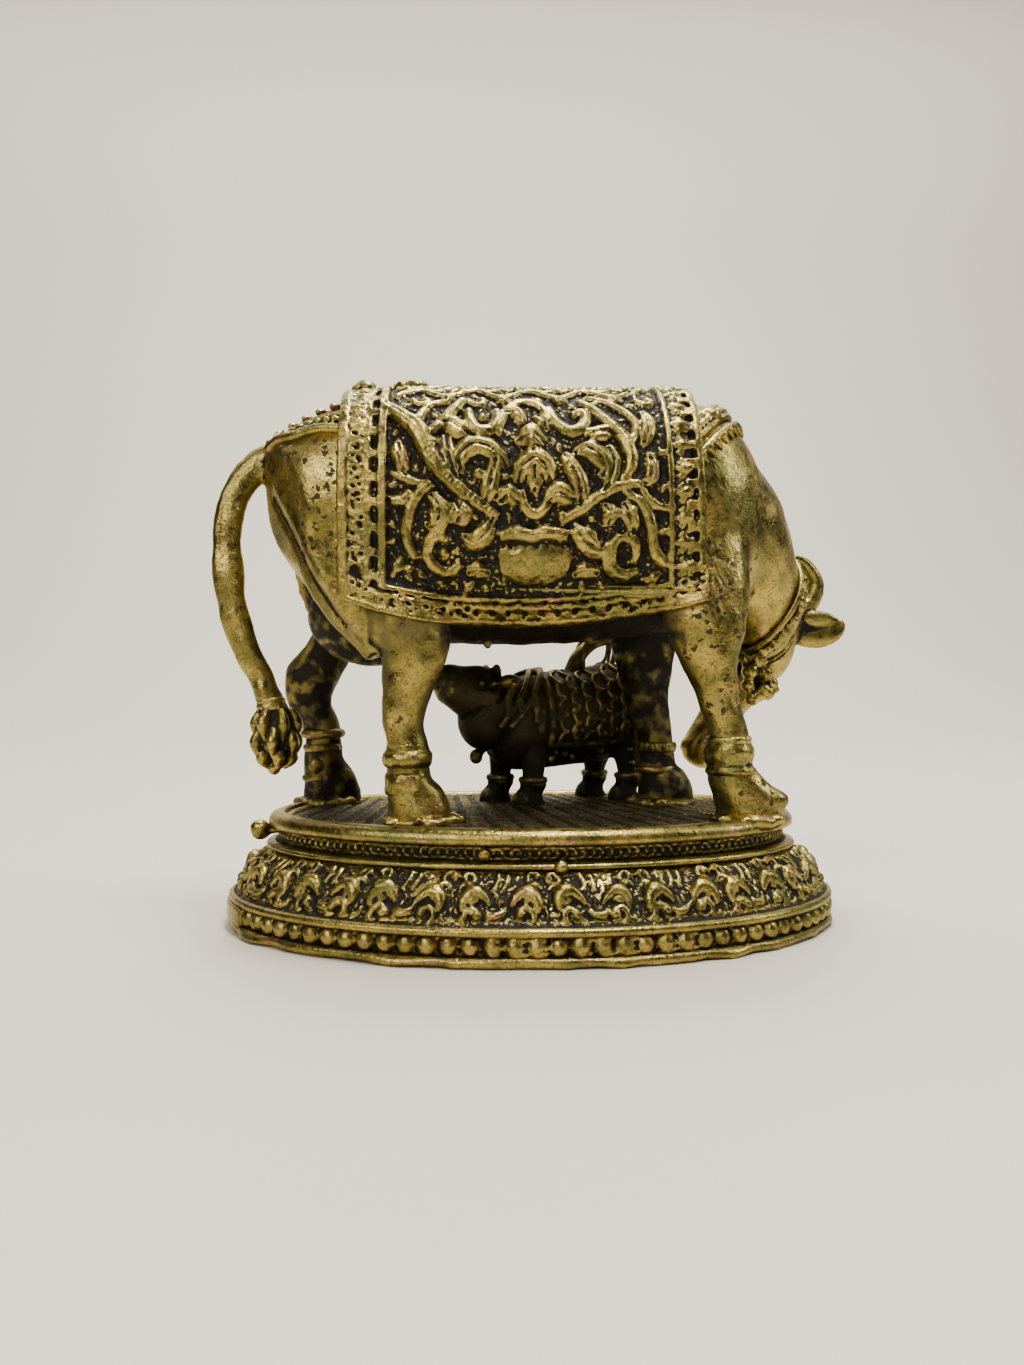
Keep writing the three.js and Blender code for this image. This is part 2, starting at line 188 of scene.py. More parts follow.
MIDDLE = (0, 0, 0.025)
soft_lamp("lamp_over", (0.05, 0.02, 0.5), MIDDLE, (0.5, 0.12), 3.2, (1, 0.99, 0.95))
soft_lamp("lamp_left", (-0.3, -0.42, 0.38), MIDDLE, (0.5, 0.32), 1.7, (1, 0.98, 0.93))
soft_lamp("lamp_right", (0.5, -0.05, 0.35), MIDDLE, (0.12, 0.3), 0.9, (0.97, 1, 0.98))
soft_lamp("lamp_low", (0.02, -0.55, 0.06), (0, 0, 0.006), (0.3, 0.08), 0.1, (1, 0.98, 0.95))
soft_lamp("lamp_behind", (0, 0.4, 0.6), (0, 0.6, 0), (1.2, 0.3), 3.8, (1, 0.98, 0.95))

world = bpy.data.worlds.new("room")
world.use_nodes = True
room = world.node_tree.nodes["Background"].inputs
room["Color"].default_value = (0.9, 0.9, 0.88, 1)
room["Strength"].default_value = 0.05
bpy.context.scene.world = world
bpy.context.scene.view_settings.view_transform = "AgX"
bpy.context.scene.view_settings.look = "AgX - Medium High Contrast"

# %% [markdown]
# ## Finish: antique brass
# New brass is dipped in a dark brown stain and rubbed back, so the stain stays in every hollow and the
# high places are bare yellow metal, with a greenish cast where the cloth rubs less and a coppery pink
# where handling wears most. Painted by hand, that would take a map for each piece. Here each piece
# carries an attribute of how hollow it is, worked out from its own shape, which the finish reads. Where
# shade falls, a painted shade is added to it and laid over it as a mottled brown.

# %% Nodes for the finish


def mixed(tree, share, low, high):
    """A colour between low and high. Each of them is a colour or a socket."""
    mix = tree.nodes.new("ShaderNodeMix")
    mix.data_type = "RGBA"
    tree.links.new(share, mix.inputs["Factor"])
    for socket, value in (("A", low), ("B", high)):
        entry = next(i for i in mix.inputs if i.name == socket and i.type == "RGBA")
        if isinstance(value, bpy.types.NodeSocket):
            tree.links.new(value, entry)
        else:
            entry.default_value = (*value, 1)
    return next(o for o in mix.outputs if o.type == "RGBA")


def ranged(tree, value, start, end, low=0.0, high=1.0):
    """value moved from the range start to end into the range low to high, and held there."""
    span = tree.nodes.new("ShaderNodeMapRange")
    span.interpolation_type = "SMOOTHSTEP"
    limits = {"From Min": start, "From Max": end, "To Min": low, "To Max": high}
    for socket, number in limits.items():
        span.inputs[socket].default_value = number
    tree.links.new(value, span.inputs["Value"])
    return span.outputs["Result"]


def sums(tree, kind, *values):
    """Arithmetic on values that are numbers or sockets. kind is the operation's name."""
    sum_node = tree.nodes.new("ShaderNodeMath")
    sum_node.operation = kind
    for socket, value in zip(sum_node.inputs, values):
        if isinstance(value, bpy.types.NodeSocket):
            tree.links.new(value, socket)
        else:
            socket.default_value = value
    return sum_node.outputs[0]


def carried(tree, name):
    """An attribute that the piece's own corners carry."""
    reader = tree.nodes.new("ShaderNodeAttribute")
    reader.attribute_name = name
    return reader.outputs["Fac"]


def grain(tree, where, size, detail=3.0, kind="Noise", result="Fac"):
    """Noise whose blotches are about size millimetres across."""
    texture = tree.nodes.new("ShaderNodeTex" + kind)
    texture.inputs["Scale"].default_value = 1000 / size
    texture.inputs["Detail"].default_value = detail
    tree.links.new(where, texture.inputs["Vector"])
    return texture.outputs[result]


def seeds(tree, where, size):
    """How far a point is from the nearest of many scattered seeds, about size millimetres apart."""
    return grain(tree, where, size, 0, "Voronoi", "Distance")


print("six node helpers are ready")

# %% [markdown]
# ## Stain, specks, pits and painted shade
# The stain fills the hollows up to a ragged edge, and bright specks stand in it where a grain of the
# casting was rubbed bare. Where shade falls, under the belly, between the legs, on the far side and on
# the calf under the cow, a painted shade adds to the stain and lays a mottled brown over the metal. Pits
# are holes where the mould's clay broke away. Each is a share from 0 to 1, so that colour, metal,
# roughness and bumps follow one pattern.

# %% Stain, specks, pits and painted shade
STAIN_STARTS = 0.15
STAIN_FULL = 0.75
PIT_STRENGTH = 0.9


def stained_and_shaded(tree, where, hollow_and_shade):
    """The share of stain, with painted shade where the hollow share holds it, and the share of bright
    specks in it.
    """
    ragged = sums(tree, "MULTIPLY_ADD", grain(tree, where, 0.35, 5), 0.5, -0.25)
    depth = sums(tree, "ADD", hollow_and_shade, ragged)
    stain_and_shade = ranged(tree, depth, STAIN_STARTS, STAIN_FULL)
    dots = sums(tree, "MULTIPLY_ADD", grain(tree, where, 0.18, 3), 0.7, seeds(tree, where, 0.45))
    patchy = ranged(tree, grain(tree, where, 1.4, 2), 0.4, 0.55, 0, 0.8)
    speck = sums(tree, "MULTIPLY", ranged(tree, dots, 0.7, 0.54), patchy)
    speck = sums(tree, "MULTIPLY", speck, stain_and_shade)
    dusty = ranged(tree, grain(tree, where, 0.22, 4), 0.5, 0.7, 0, 0.55)
    stain_and_shade = sums(tree, "MAXIMUM", stain_and_shade, dusty)
    stain_and_shade = sums(tree, "SUBTRACT", stain_and_shade, speck)
    stain_and_shade.node.use_clamp = True
    return stain_and_shade, speck


def mottled_shade(tree, where, hollow_and_shade):
    """Painted shade: a mottled brown, as strong as the piece's share of painted shade."""
    mottle = sums(tree, "MULTIPLY_ADD", hollow_and_shade, 0.42, grain(tree, where, 1.2, 6))
    shade_mottle = ranged(tree, mottle, 0.2, 0.5, 0.35, 1.03)
    return sums(tree, "MULTIPLY", shade_mottle, carried(tree, "painted_shade"))


def holed(tree, where):
    """The share of pit: everywhere a few, and many where the piece says it is pitted."""
    spread = sums(tree, "MULTIPLY_ADD", carried(tree, "pitted"), 0.3, grain(tree, where, 3, 3))
    pitty = ranged(tree, spread, 0.62, 0.74)
    uneven = sums(tree, "MULTIPLY_ADD", grain(tree, where, 0.32, 4), 0.9, seeds(tree, where, 0.95))
    hole = sums(tree, "MULTIPLY", ranged(tree, uneven, 0.78, 0.7), pitty)
    return sums(tree, "MULTIPLY", hole, PIT_STRENGTH)


print("stain from a hollow of", STAIN_STARTS, "to", STAIN_FULL)

# %% Colours of the brass
OLIVE = (0.27, 0.225, 0.078)
YELLOW = (0.50, 0.385, 0.135)
GREENISH = (0.25, 0.235, 0.085)
COPPERY = (0.46, 0.28, 0.16)
STAIN_AND_SHADE_BROWN = (0.021, 0.017, 0.012)


def brass_colour(tree, where, hollow_and_shade, stain_and_shade):
    """Yellow and olive clouds, a greenish cast, pink on worn edges, and the brown of stain and painted
    shade over them.
    """
    cloud = ranged(tree, grain(tree, where, 3), 0.35, 0.65)
    tone = mixed(tree, cloud, OLIVE, YELLOW)
    cool = ranged(tree, grain(tree, where, 9, 2), 0.5, 0.7, 0, 0.7)
    tone = mixed(tree, cool, tone, GREENISH)
    worn = ranged(tree, hollow_and_shade, -0.35, -0.95)
    handled = ranged(tree, grain(tree, where, 2.2, 2), 0.58, 0.72)
    rubbed = sums(tree, "MULTIPLY", handled, worn)
    tone = mixed(tree, rubbed, tone, COPPERY)
    return mixed(tree, stain_and_shade, tone, STAIN_AND_SHADE_BROWN)


print("the stain is", round(YELLOW[0] / STAIN_AND_SHADE_BROWN[0]), "times darker than bare yellow brass")

# %% Antique brass
SKIN_DEPTH = 0.00007
PIT_DEPTH = 0.00012


def bump(tree, height, depth, under=None):
    """A bump of depth metres, laid over the bump under it."""
    bumps = tree.nodes.new("ShaderNodeBump")
    bumps.inputs["Distance"].default_value = depth
    tree.links.new(height, bumps.inputs["Height"])
    if under:
        tree.links.new(under.outputs["Normal"], bumps.inputs["Normal"])
    return bumps


def antique_brass(name):
    """The whole finish. Metal under stain and painted shade is duller and rougher, and pits are bumps
    turned inwards.
    """
    finish = bpy.data.materials.new(name)
    finish.use_nodes = True
    tree = finish.node_tree
    shader = tree.nodes["Principled BSDF"]
    where = tree.nodes.new("ShaderNodeTexCoord").outputs["Object"]
    hollow_and_shade = carried(tree, "hollow_and_shade")
    stain_and_shade, speck = stained_and_shaded(tree, where, hollow_and_shade)
    # Painted shade: the mottled brown joins the stain here.
    stain_and_shade = sums(tree, "MAXIMUM", stain_and_shade, mottled_shade(tree, where, hollow_and_shade))
    hole = holed(tree, where)
    stain_and_shade = sums(tree, "MAXIMUM", stain_and_shade, hole)
    tree.links.new(brass_colour(tree, where, hollow_and_shade, stain_and_shade), shader.inputs["Base Color"])

    bare = ranged(tree, stain_and_shade, 0, 1, 1, 0.35)
    tree.links.new(bare, shader.inputs["Metallic"])
    scuffed = ranged(tree, grain(tree, where, 0.8), 0.3, 0.7, 0.25, 0.43)
    rough = sums(tree, "MULTIPLY_ADD", stain_and_shade, 0.3, scuffed)
    tree.links.new(rough, shader.inputs["Roughness"])

    cast_skin = sums(tree, "ADD", grain(tree, where, 0.3, 4), speck)
    skin = bump(tree, cast_skin, SKIN_DEPTH)
    skin.inputs["Strength"].default_value = 0.8
    dent = bump(tree, hole, PIT_DEPTH, skin)
    dent.invert = True
    tree.links.new(dent.outputs["Normal"], shader.inputs["Normal"])
    return finish


BRASS = antique_brass("antique brass")
print("the finish has", len(BRASS.node_tree.nodes), "nodes")

# %% [markdown]
# ## Wax working
# These helpers are the maker's hands. A limb is a row of rings bridged into one skin, a ball is pressed
# on where something bulges, a thread is a curve with its own thickness at each point, and melting joins
# what overlaps into one skin with soft corners. Sculpting needs a hand on the mouse. Rings and balls
# can be written down, and moved by tenths. Everything is in millimetres until it is finished.

# %% Rings
UP = Vector((0, 0, 1))
FORWARD = Vector((1, 0, 0))
THINNEST = 0.05


def through(rows, steps):
    """Rows of numbers with steps - 1 more between each two, on a smooth line through all."""
    rows = np.array(rows, float)
    ends = np.vstack([2 * rows[0] - rows[1], rows, 2 * rows[-1] - rows[-2]])
    made = []
    for i in range(len(rows) - 1):
        a, b, c, d = ends[i : i + 4]
        for t in np.arange(steps) / steps:
            curved = 2 * a - 5 * b + 4 * c - d + t * (3 * (b - c) + d - a)
            made.append(b + 0.5 * t * (c - a + t * curved))
    made.append(rows[-1])
    return np.array(made)


def skinned_over():
    """In edit mode: closes the ends of what was made, and turns its faces outward."""
    bpy.ops.mesh.select_all(action="SELECT")
    bpy.ops.mesh.fill_holes(sides=0)
    bpy.ops.mesh.select_all(action="SELECT")
    bpy.ops.mesh.normals_make_consistent(inside=False)
    put_down()
    return bpy.context.object


def limb(stations, sides=16, steps=3, top=UP, facing=None):
    """A skin over rings. A station is a ring's x, y, z, half width, and half height towards top."""
    rows = through(stations, steps)
    put_down()
    bpy.ops.object.add(type="MESH", enter_editmode=True, location=(0, 0, 0))
    for i, (x, y, z, wide, high) in enumerate(rows):
        before = rows[max(i - 1, 0), :3]
        after = rows[min(i + 1, len(rows) - 1), :3]
        along = facing or Vector(after - before).normalized()
        across = top.cross(along).normalized()
        turned = Matrix((across, along.cross(across), along)).transposed()
        bpy.ops.mesh.primitive_circle_add(
            vertices=sides, radius=1, location=(x, y, z), rotation=turned.to_euler()
        )
        bpy.ops.transform.resize(
            value=(max(wide, THINNEST), max(high, THINNEST), 1),
            orient_type="NORMAL",
            orient_matrix=turned,
            orient_matrix_type="NORMAL",
            center_override=(x, y, z),
        )
    bpy.ops.mesh.select_all(action="SELECT")
    bpy.ops.mesh.bridge_edge_loops()
    return skinned_over()


print("a limb of 3 rings has", len(through([(0, 0), (1, 0), (2, 0)], 3)), "rings once it is smooth")

# %% Balls and threads


def ball(place, size, turn=(0, 0, 0), fine=3):
    """A ball pressed to the half sizes in size and turned by degrees about X, Y and Z."""
    put_down()
    turn = [math.radians(angle) for angle in turn]
    bpy.ops.mesh.primitive_ico_sphere_add(
        subdivisions=fine, radius=1, location=place, rotation=turn, scale=size
    )
    bpy.ops.object.transform_apply()
    return bpy.context.object


def balls(rows, fine=3):
    """Several balls. A row is a place, a size and, where it is needed, a turn."""
    return [ball(*row, fine=fine) for row in rows]


def bead(place, radius, fine=2):
    """A small round ball, which needs fewer faces."""
    return ball(place, (radius, radius, radius), fine=fine)


def threads(name, strokes, roundness=2, bend=4):
    """Threads of wax. A point of a stroke is x, y, z and half the thread's thickness there."""
    drawn = bpy.data.curves.new(name, "CURVE")
    drawn.dimensions = "3D"
    drawn.bevel_depth = 1
    drawn.bevel_resolution = roundness
    drawn.resolution_u = bend
    drawn.use_fill_caps = True
    for stroke in strokes:
        line = drawn.splines.new("BEZIER")
        line.bezier_points.add(len(stroke) - 1)
        for point, (x, y, z, thick) in zip(line.bezier_points, stroke):
            point.co = (x, y, z)
            point.radius = thick
            point.handle_left_type = "AUTO"
            point.handle_right_type = "AUTO"
    thread = bpy.data.objects.new(name, drawn)
    bpy.context.scene.collection.objects.link(thread)
    pick_up(thread)
    bpy.ops.object.convert(target="MESH")
    return bpy.context.object


def joined(name, pieces):
    """Makes one object of several, still as separate lumps."""
    pick_up(*pieces)
    bpy.ops.object.join()
    whole = bpy.context.object
    whole.name = name
    whole.data.name = name
    return whole


def melted(piece, fineness, softening):
    """Joins all that overlaps into one skin of small squares, and softens its corners."""
    melt = piece.modifiers.new("melt", "REMESH")
    melt.mode = "VOXEL"
    melt.voxel_size = fineness * COARSE
    apply_last(piece)
    if softening:
        soften = piece.modifiers.new("soften", "SMOOTH")
        soften.factor = 0.5
        soften.iterations = softening
        apply_last(piece)
    return piece


print("the squares of melted wax are", COARSE, "times their final size")

# %% [markdown]
# ## Working the skin
# A melted lump is worked on its surface: a blunt tool draws folds, and the mould leaves it slightly
# uneven. Brushes do this by hand. Here the corners are read as a table of numbers, moved along the way
# the skin faces, and written back, which is quick even for 100,000 of them.

# %% Working the skin


def corners(piece):
    """The piece's corners, a row of x, y and z for each."""
    places = np.empty(3 * len(piece.data.vertices), np.float32)
    piece.data.vertices.foreach_get("co", places)
    return places.reshape(-1, 3).astype(float)


def move_corners(piece, places):
    piece.data.vertices.foreach_set("co", np.asarray(places, np.float32).ravel())
    piece.data.update()


def outward_of(piece):
    """The direction the skin faces at each corner."""
    ways = np.empty(3 * len(piece.data.vertices), np.float32)
    piece.data.vertex_normals.foreach_get("vector", ways)
    return ways.reshape(-1, 3).astype(float)


def pressed(piece, lines, width, depth):
    """Sinks the skin along lines of points with a blunt tool. A depth below 0 raises it."""
    places = corners(piece)
    nearest = np.full(len(places), 1e9)
    for line in lines:
        for point in through(line, 12):
            nearest = np.minimum(nearest, ((places - point) ** 2).sum(1))
    sunk = depth * np.exp(-nearest / width**2)
    move_corners(piece, places - outward_of(piece) * sunk[:, None])
    return piece


def roughened(piece, size, height, seed=0.0, where=1.0):
    """The unevenness of a casting, in blotches of about size millimetres."""
    places = corners(piece)
    bumps = [noise.noise(Vector(point) / size + Vector((seed, 0, 0))) for point in places]
    bumps = np.array(bumps) * where
    move_corners(piece, places + outward_of(piece) * (height * bumps)[:, None])
    return piece


def skin_of(piece):
    """The piece as a surface that rays can be cast at."""
    return BVHTree.FromObject(piece, bpy.context.evaluated_depsgraph_get())


def on_skin(skin, middle, way, lift=0.0, reach=30):
    """Where a ray from outside towards middle meets the skin, lifted off it."""
    way = Vector(way).normalized()
    place, outward, _, _ = skin.ray_cast(Vector(middle) + way * reach, -way)
    if place is None:
        return Vector(middle)
    return place + outward * lift


def eased(value, start, length):
    """0 up to start and 1 from start + length on. A length below 0 goes the other way."""
    return np.clip((value - start) / length, 0, 1)


print("an ease from 10 to 14 is at", eased(12, 10, 4), "at 12")

# %% [markdown]
# ## Hollows
# The stain gathers where the metal around a point stands higher than the point itself. So each piece is
# smoothed on the side, a little for the ornament and widely for the large forms, and how far a corner
# lies below the smoothed skin says how hollow it is there. On the hide, the anklets and the calf a painted
# shade, given by place and facing, is added to it. The renderer's own pointiness would not go along with
# an exported piece.

# %% Mark the hollows


def smoothed(places, starts, ends, rounds):
    """The places after each moved to its neighbours' middle, rounds times over."""
    count = len(places)
    share = np.bincount(starts, minlength=count) + np.bincount(ends, minlength=count)
    share = np.maximum(share, 1)
    for _ in range(rounds):
        moved = [
            np.bincount(starts, places[ends, k], count) + np.bincount(ends, places[starts, k], count)
            for k in range(3)
        ]
        places = np.stack(moved, 1) / share[:, None]
    return places


def mark_hollows_and_shade(piece, narrow=8, wide=60, deep=0.05, base=0.0):
    """Writes how hollow each corner is (above 0 in a hollow, below 0 on an edge or crest), plus base,
    which on some pieces is painted shade.
    """
    mesh = piece.data
    places = corners(piece)
    outward = outward_of(piece)
    pairs = np.empty(2 * len(mesh.edges), np.int32)
    mesh.edges.foreach_get("vertices", pairs)
    starts, ends = pairs[0::2], pairs[1::2]
    near = smoothed(places, starts, ends, narrow)
    far = smoothed(near, starts, ends, wide)
    sunk = ((near - places) * outward).sum(1) / deep
    sunk = sunk + ((far - places) * outward).sum(1) / (4 * deep) + base
    attribute = mesh.attributes.new("hollow_and_shade", "FLOAT", "POINT")
    attribute.data.foreach_set("value", np.clip(sunk, -1, 1.5).astype(np.float32))


# %% Finish a piece
triangles_made = 0


def finish_piece(piece, pitted=None, painted_shade=None, **how):
    """Marks the hollows and the painted shade, brings the piece to metres, and hands it to the frame."""
    global triangles_made
    mark_hollows_and_shade(piece, **how)
    for name, share in (("pitted", pitted), ("painted_shade", painted_shade)):
        if share is not None:
            patch = piece.data.attributes.new(name, "FLOAT", "POINT")
            patch.data.foreach_set("value", share.astype(np.float32))
    pick_up(piece)
    bpy.ops.transform.resize(value=(0.001, 0.001, 0.001), center_override=(0, 0, 0))
    bpy.ops.object.transform_apply()
    bpy.ops.object.shade_smooth()
    piece.data.materials.clear()
    piece.data.materials.append(BRASS)
    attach(piece, "root")
    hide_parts(CASTING)
    count = sum(len(face.vertices) - 2 for face in piece.data.polygons)
    triangles_made += count
    print(piece.name, count, "triangles")


# %% [markdown]
# ## The cow's body
# Trunk, neck and legs are drawn out ring by ring, with more rings where the outline turns quickly. Each
# limb starts well inside its neighbour, and melting makes one skin of them all. Extruding the legs out
# of the trunk would tie their rings to its rings, and these can be moved freely.

# %% Trunk and neck
# The height of the ground inside the plinth's rim, and the height down to which the legs are rooted.
PLINTH_TOP = 10.1
ROOT = 9.6
TRUNK = [
    (-25.2, 0, 41, 2, 2.4), (-24.2, 0, 40.2, 4.8, 5), (-21.2, 0, 39, 7.4, 8),
    (-17.6, 0, 38.3, 8.5, 10.4), (-13.6, 0, 37.9, 9.1, 11.3), (-8, 0, 37.7, 9.4, 11.7),
    (2, 0, 37.7, 9.6, 11.7), (10, 0, 38.1, 9.3, 11.4), (15.5, 0, 38.4, 8.5, 10.8), (19, 0, 38, 6.8, 9.2),
    (21.6, 0, 37.4, 4.2, 6), (22.6, 0, 37, 1.8, 3),
]
NECK = [
    (12.5, 0.3, 39.2, 6.6, 8.2), (17.6, 1.4, 37.4, 7, 7.6), (21.2, 3.8, 33.6, 5.8, 5.8),
    (23.7, 6.4, 29.4, 4.5, 4.9), (25, 8.2, 27.2, 3.4, 3.8),
]
body_parts = [limb(TRUNK, sides=32, facing=FORWARD), limb(NECK, sides=20)]
print("trunk", TRUNK[-1][0] - TRUNK[0][0], "mm long")

# %% [markdown]
# ## Legs
# Each leg stands as the photograph shows it. From the anklet down they are alike, and one function
# makes that part. The hooves run on into the plinth, because the real legs and plinth are one pour of
# brass. One leg copied four times would be quicker, and stiffer.

# %% Legs


def leg(upper, anklet, reach=1.0):
    """A leg down to its hoof, which points towards +X. The anklet's middle is at anklet."""
    x, y, z = anklet
    lower = [
        (x, y, z + 1.1, 1.75, 1.8),
        (x, y, z, 1.8, 1.85),
        (x + 0.1, y, z - 1.2, 1.8, 1.9),
        (x + 0.1, y, z - 2.4, 2, 2.1),
        (x + 0.9 * reach, y, 11.4, 2.2, 2.9),
        (x + reach, y, ROOT, 2.3, 3),
    ]
    return limb([*upper, *lower], sides=16, top=FORWARD)


ANKLETS = {
    "near_hind": (-11.5, -8, 15.6),
    "far_hind": (-20.9, 7, 16.6),
    "near_front": (17.2, -7.8, 16.5),
    "far_front": (13, 5.5, 15.8),
}
UPPER_LEGS = {
    "near_hind": [
        (-17, -3.6, 38, 3.7, 6), (-15, -5.2, 33, 3.5, 5.3), (-12.3, -6.4, 29, 3.3, 4.6),
        (-10.9, -7.4, 25.6, 2.8, 3.3), (-11.5, -7.8, 22, 2.1, 2.4), (-11.9, -8, 19, 1.75, 1.85),
    ],
    "far_hind": [
        (-20, 4.2, 38, 3.7, 5.2), (-20.6, 5.4, 33, 3.4, 4.7), (-20.6, 6.3, 28.6, 3, 4),
        (-21.2, 6.8, 25.2, 2.5, 3.2), (-22.3, 7, 22, 2.1, 2.6), (-21.9, 7, 19.4, 1.8, 2),
    ],
    "near_front": [
        (14.6, -4.4, 37, 3.3, 5), (15.2, -6, 31.4, 3.2, 4.5), (15.3, -7.2, 27, 2.7, 3.6),
        (15.8, -7.6, 23, 2, 2.3), (16.6, -7.8, 19.6, 1.7, 1.8),
    ],
    "far_front": [
        (12.6, 4, 37, 3.3, 5), (12, 5, 31, 3.1, 4.2), (11.8, 5.4, 26, 2.7, 3.3), (12.1, 5.5, 21, 2, 2.3),
        (12.7, 5.5, 18, 1.75, 1.9),
    ],
}
# How far each hoof reaches forward of its anklet.
HOOF_REACH = {"near_hind": 1, "far_hind": 1, "near_front": 1.8, "far_front": 1}
for name, upper in UPPER_LEGS.items():
    body_parts.append(leg(upper, ANKLETS[name], HOOF_REACH[name]))
print(len(UPPER_LEGS), "legs, down to", ROOT, "mm")

# %% [markdown]
# ## Udder, muscles and tail
# What bulges is pressed on as a ball: the udder and its teats, two beads of leaked metal under the
# belly, and the lumps of a front hoof. The back of each thigh was pared flat with a knife, so it is
# sliced along a plane. The tail is joined after that, out of the knife's way, and then a blunt tool
# draws the ridge of the thigh and the shoulder's folds.

# %% Udder and inner thigh
UDDER = ((-14.8, 0.3, 28.6), (6.7, 4.3, 4.8))
INNER_THIGH = [
    (-20.8, -3.4, 36.5, 2, 2), (-19.3, -4.3, 32.2, 2, 2), (-17.7, -5.1, 29.4, 1.7, 1.8),
    (-15.7, -5.8, 27, 1.5, 1.6), (-14.1, -6.6, 24.8, 1.1, 1.4),
]
TEATS = [((-10.8, y, 24.1), (0.7, 0.7, 1.8)) for y in (0.3 - 1.6, 0.3 + 1.6)]
LEAKED_BEADS = [((x, -2.6, z), (0.6, 0.6, 0.8)) for x, z in ((-4.3, 25.9), (5.3, 26.3))]
HOOF_LUMPS = [((20.9, -8, 11.7), (1.6, 1.4, 1.2)), ((22.1, -8.2, 11.9), (0.6, 0.6, 0.6))]
body_parts += [*balls([UDDER]), limb(INNER_THIGH, sides=14, top=FORWARD), *balls(TEATS)]
body_parts += balls(LEAKED_BEADS, fine=2) + balls(HOOF_LUMPS)
cow_body = melted(joined("cow_body", body_parts), 0.32, 7)
print("the body has", len(cow_body.data.vertices), "corners so far")

# %% Haunches and tail
TAIL = [
    (-23.4, 0, 43.6, 1.7, 1.8), (-25.9, -0.4, 42.9, 1.3, 1.6), (-28, -1.2, 39.8, 1.1, 1.4),
    (-28.6, -2, 35.6, 1.1, 1.45), (-28.1, -2.4, 30.2, 1.1, 1.4), (-26.8, -2.6, 25.7, 1, 1.25),
    (-25.1, -2.6, 22.4, 1, 1.15), (-24.4, -2.6, 20.4, 1.2, 1.2),
]


def sliced(piece, point, facing, share):
    """Pares the skin flat with a knife: what stands beyond the plane drops onto it, by its share."""
    places = corners(piece)
    facing = np.array(facing, float) / np.linalg.norm(facing)
    beyond = np.clip((places - point) @ facing, 0, None) * share
    move_corners(piece, places - beyond[:, None] * facing)


def haunch(side):
    """A share that is 1 on one side of the hind end and fades at the middle and the knee."""
    places = corners(cow_body)
    return eased(side * places[:, 1], -1, 2) * eased(places[:, 2], 24, 3)


sliced(cow_body, (-21.2, -6, 36), (-0.84, -0.52, -0.16), haunch(-1))
sliced(cow_body, (-21.5, 6, 36), (-0.85, 0.5, -0.12), haunch(1))
tail = limb(TAIL, sides=16, top=FORWARD)
cow_body = melted(joined("cow_body", [cow_body, tail]), 0.29, 1)
print("with the tail it has", len(cow_body.data.vertices), "corners")

# %% The thigh's ridge and the shoulder's folds
# Points of x and z, as they show from the side.
CREST = [
    (-24.4, 42.2), (-23.4, 39.7), (-21.9, 37), (-19.9, 33.2), (-18.2, 30.3), (-16.4, 27.7),
    (-14.7, 25.2),
]
SHOULDER_FOLDS = [
    [(15.3, 35), (15.5, 33), (16.6, 30.8)],
    [(15.2, 32.6), (15.3, 30.4), (15.9, 28.6)],
]
near_side = skin_of(cow_body)


def on_near_side(line, back=0.0, down=0.0):
    """Points of x and z, moved back and down, and laid on the side that the camera sees."""
    return [on_skin(near_side, (x - back, 0, z - down), (0, -1, 0)) for x, z in line]


pressed(cow_body, [on_near_side(CREST)], 0.5, -0.3)
pressed(cow_body, [on_near_side(CREST[1:6], 0.9, 0.35)], 0.4, 0.25)
pressed(cow_body, [on_near_side(line) for line in SHOULDER_FOLDS], 0.28, 0.18)
cow_skin = skin_of(cow_body)
print(len(SHOULDER_FOLDS), "folds at the shoulder")

# %% [markdown]
# ## Saddle cloth
# A cloth lies over her back, with a border on three sides and a potted plant in the middle of each
# flank. In the wax it is a thin sheet with threads, beads and leaves pressed on it, and it is modelled
# the same way: flat on a table, melted, and wrapped round the trunk by measuring along the curve of the
# back. Heights on the flank are given as they show from the side, and are turned into lengths along the
# cloth.

# %% From the table to the flank
CLOTH_REAR = -17.3
CLOTH_FRONT = 15.1
HEM = 28.5
SAG = 1.4
# The trunk's section under the cloth: its middle height, its half sizes, and how square it is.
BACK_MIDDLE = 37.7
GIRTH = (10.2, 12.3)
SQUARENESS = 2.2
trunk_rows = through(TRUNK, 6)


def bulge_at(angle):
    """How far the section reaches at an angle from the spine: 1 for a circle, more at a corner."""
    power = np.abs(np.sin(angle)) ** SQUARENESS + np.abs(np.cos(angle)) ** SQUARENESS
    return power ** (-1 / SQUARENESS)


def trunk_point(x, angle, lift):
    """Points lifted off the trunk's skin. The angle grows from the spine down the near flank."""
    middle = np.interp(x, trunk_rows[:, 0], trunk_rows[:, 2])
    wide = np.interp(x, trunk_rows[:, 0], trunk_rows[:, 3]) + lift
    high = np.interp(x, trunk_rows[:, 0], trunk_rows[:, 4]) + lift
    bulge = bulge_at(angle)
    across = -bulge * wide * np.sin(angle)
    return np.stack([x + 0 * angle, across, middle + bulge * high * np.cos(angle)], -1)


LOWEST = 0.8 * math.pi
angles = np.linspace(0, LOWEST, 600)
across = bulge_at(angles) * GIRTH[0] * np.sin(angles)
outline = np.stack([across, BACK_MIDDLE + bulge_at(angles) * GIRTH[1] * np.cos(angles)], -1)


def length_along(line):
    """How far along a line of points each of them is."""
    return np.concatenate([[0], np.cumsum(np.linalg.norm(np.diff(line, axis=0), axis=1))])


lengths = length_along(outline)


def from_spine(z):
    """How far along the cloth the height z is from the spine."""
    return np.interp(-z, -outline[:, 1], lengths)


FLANK = float(from_spine(HEM))


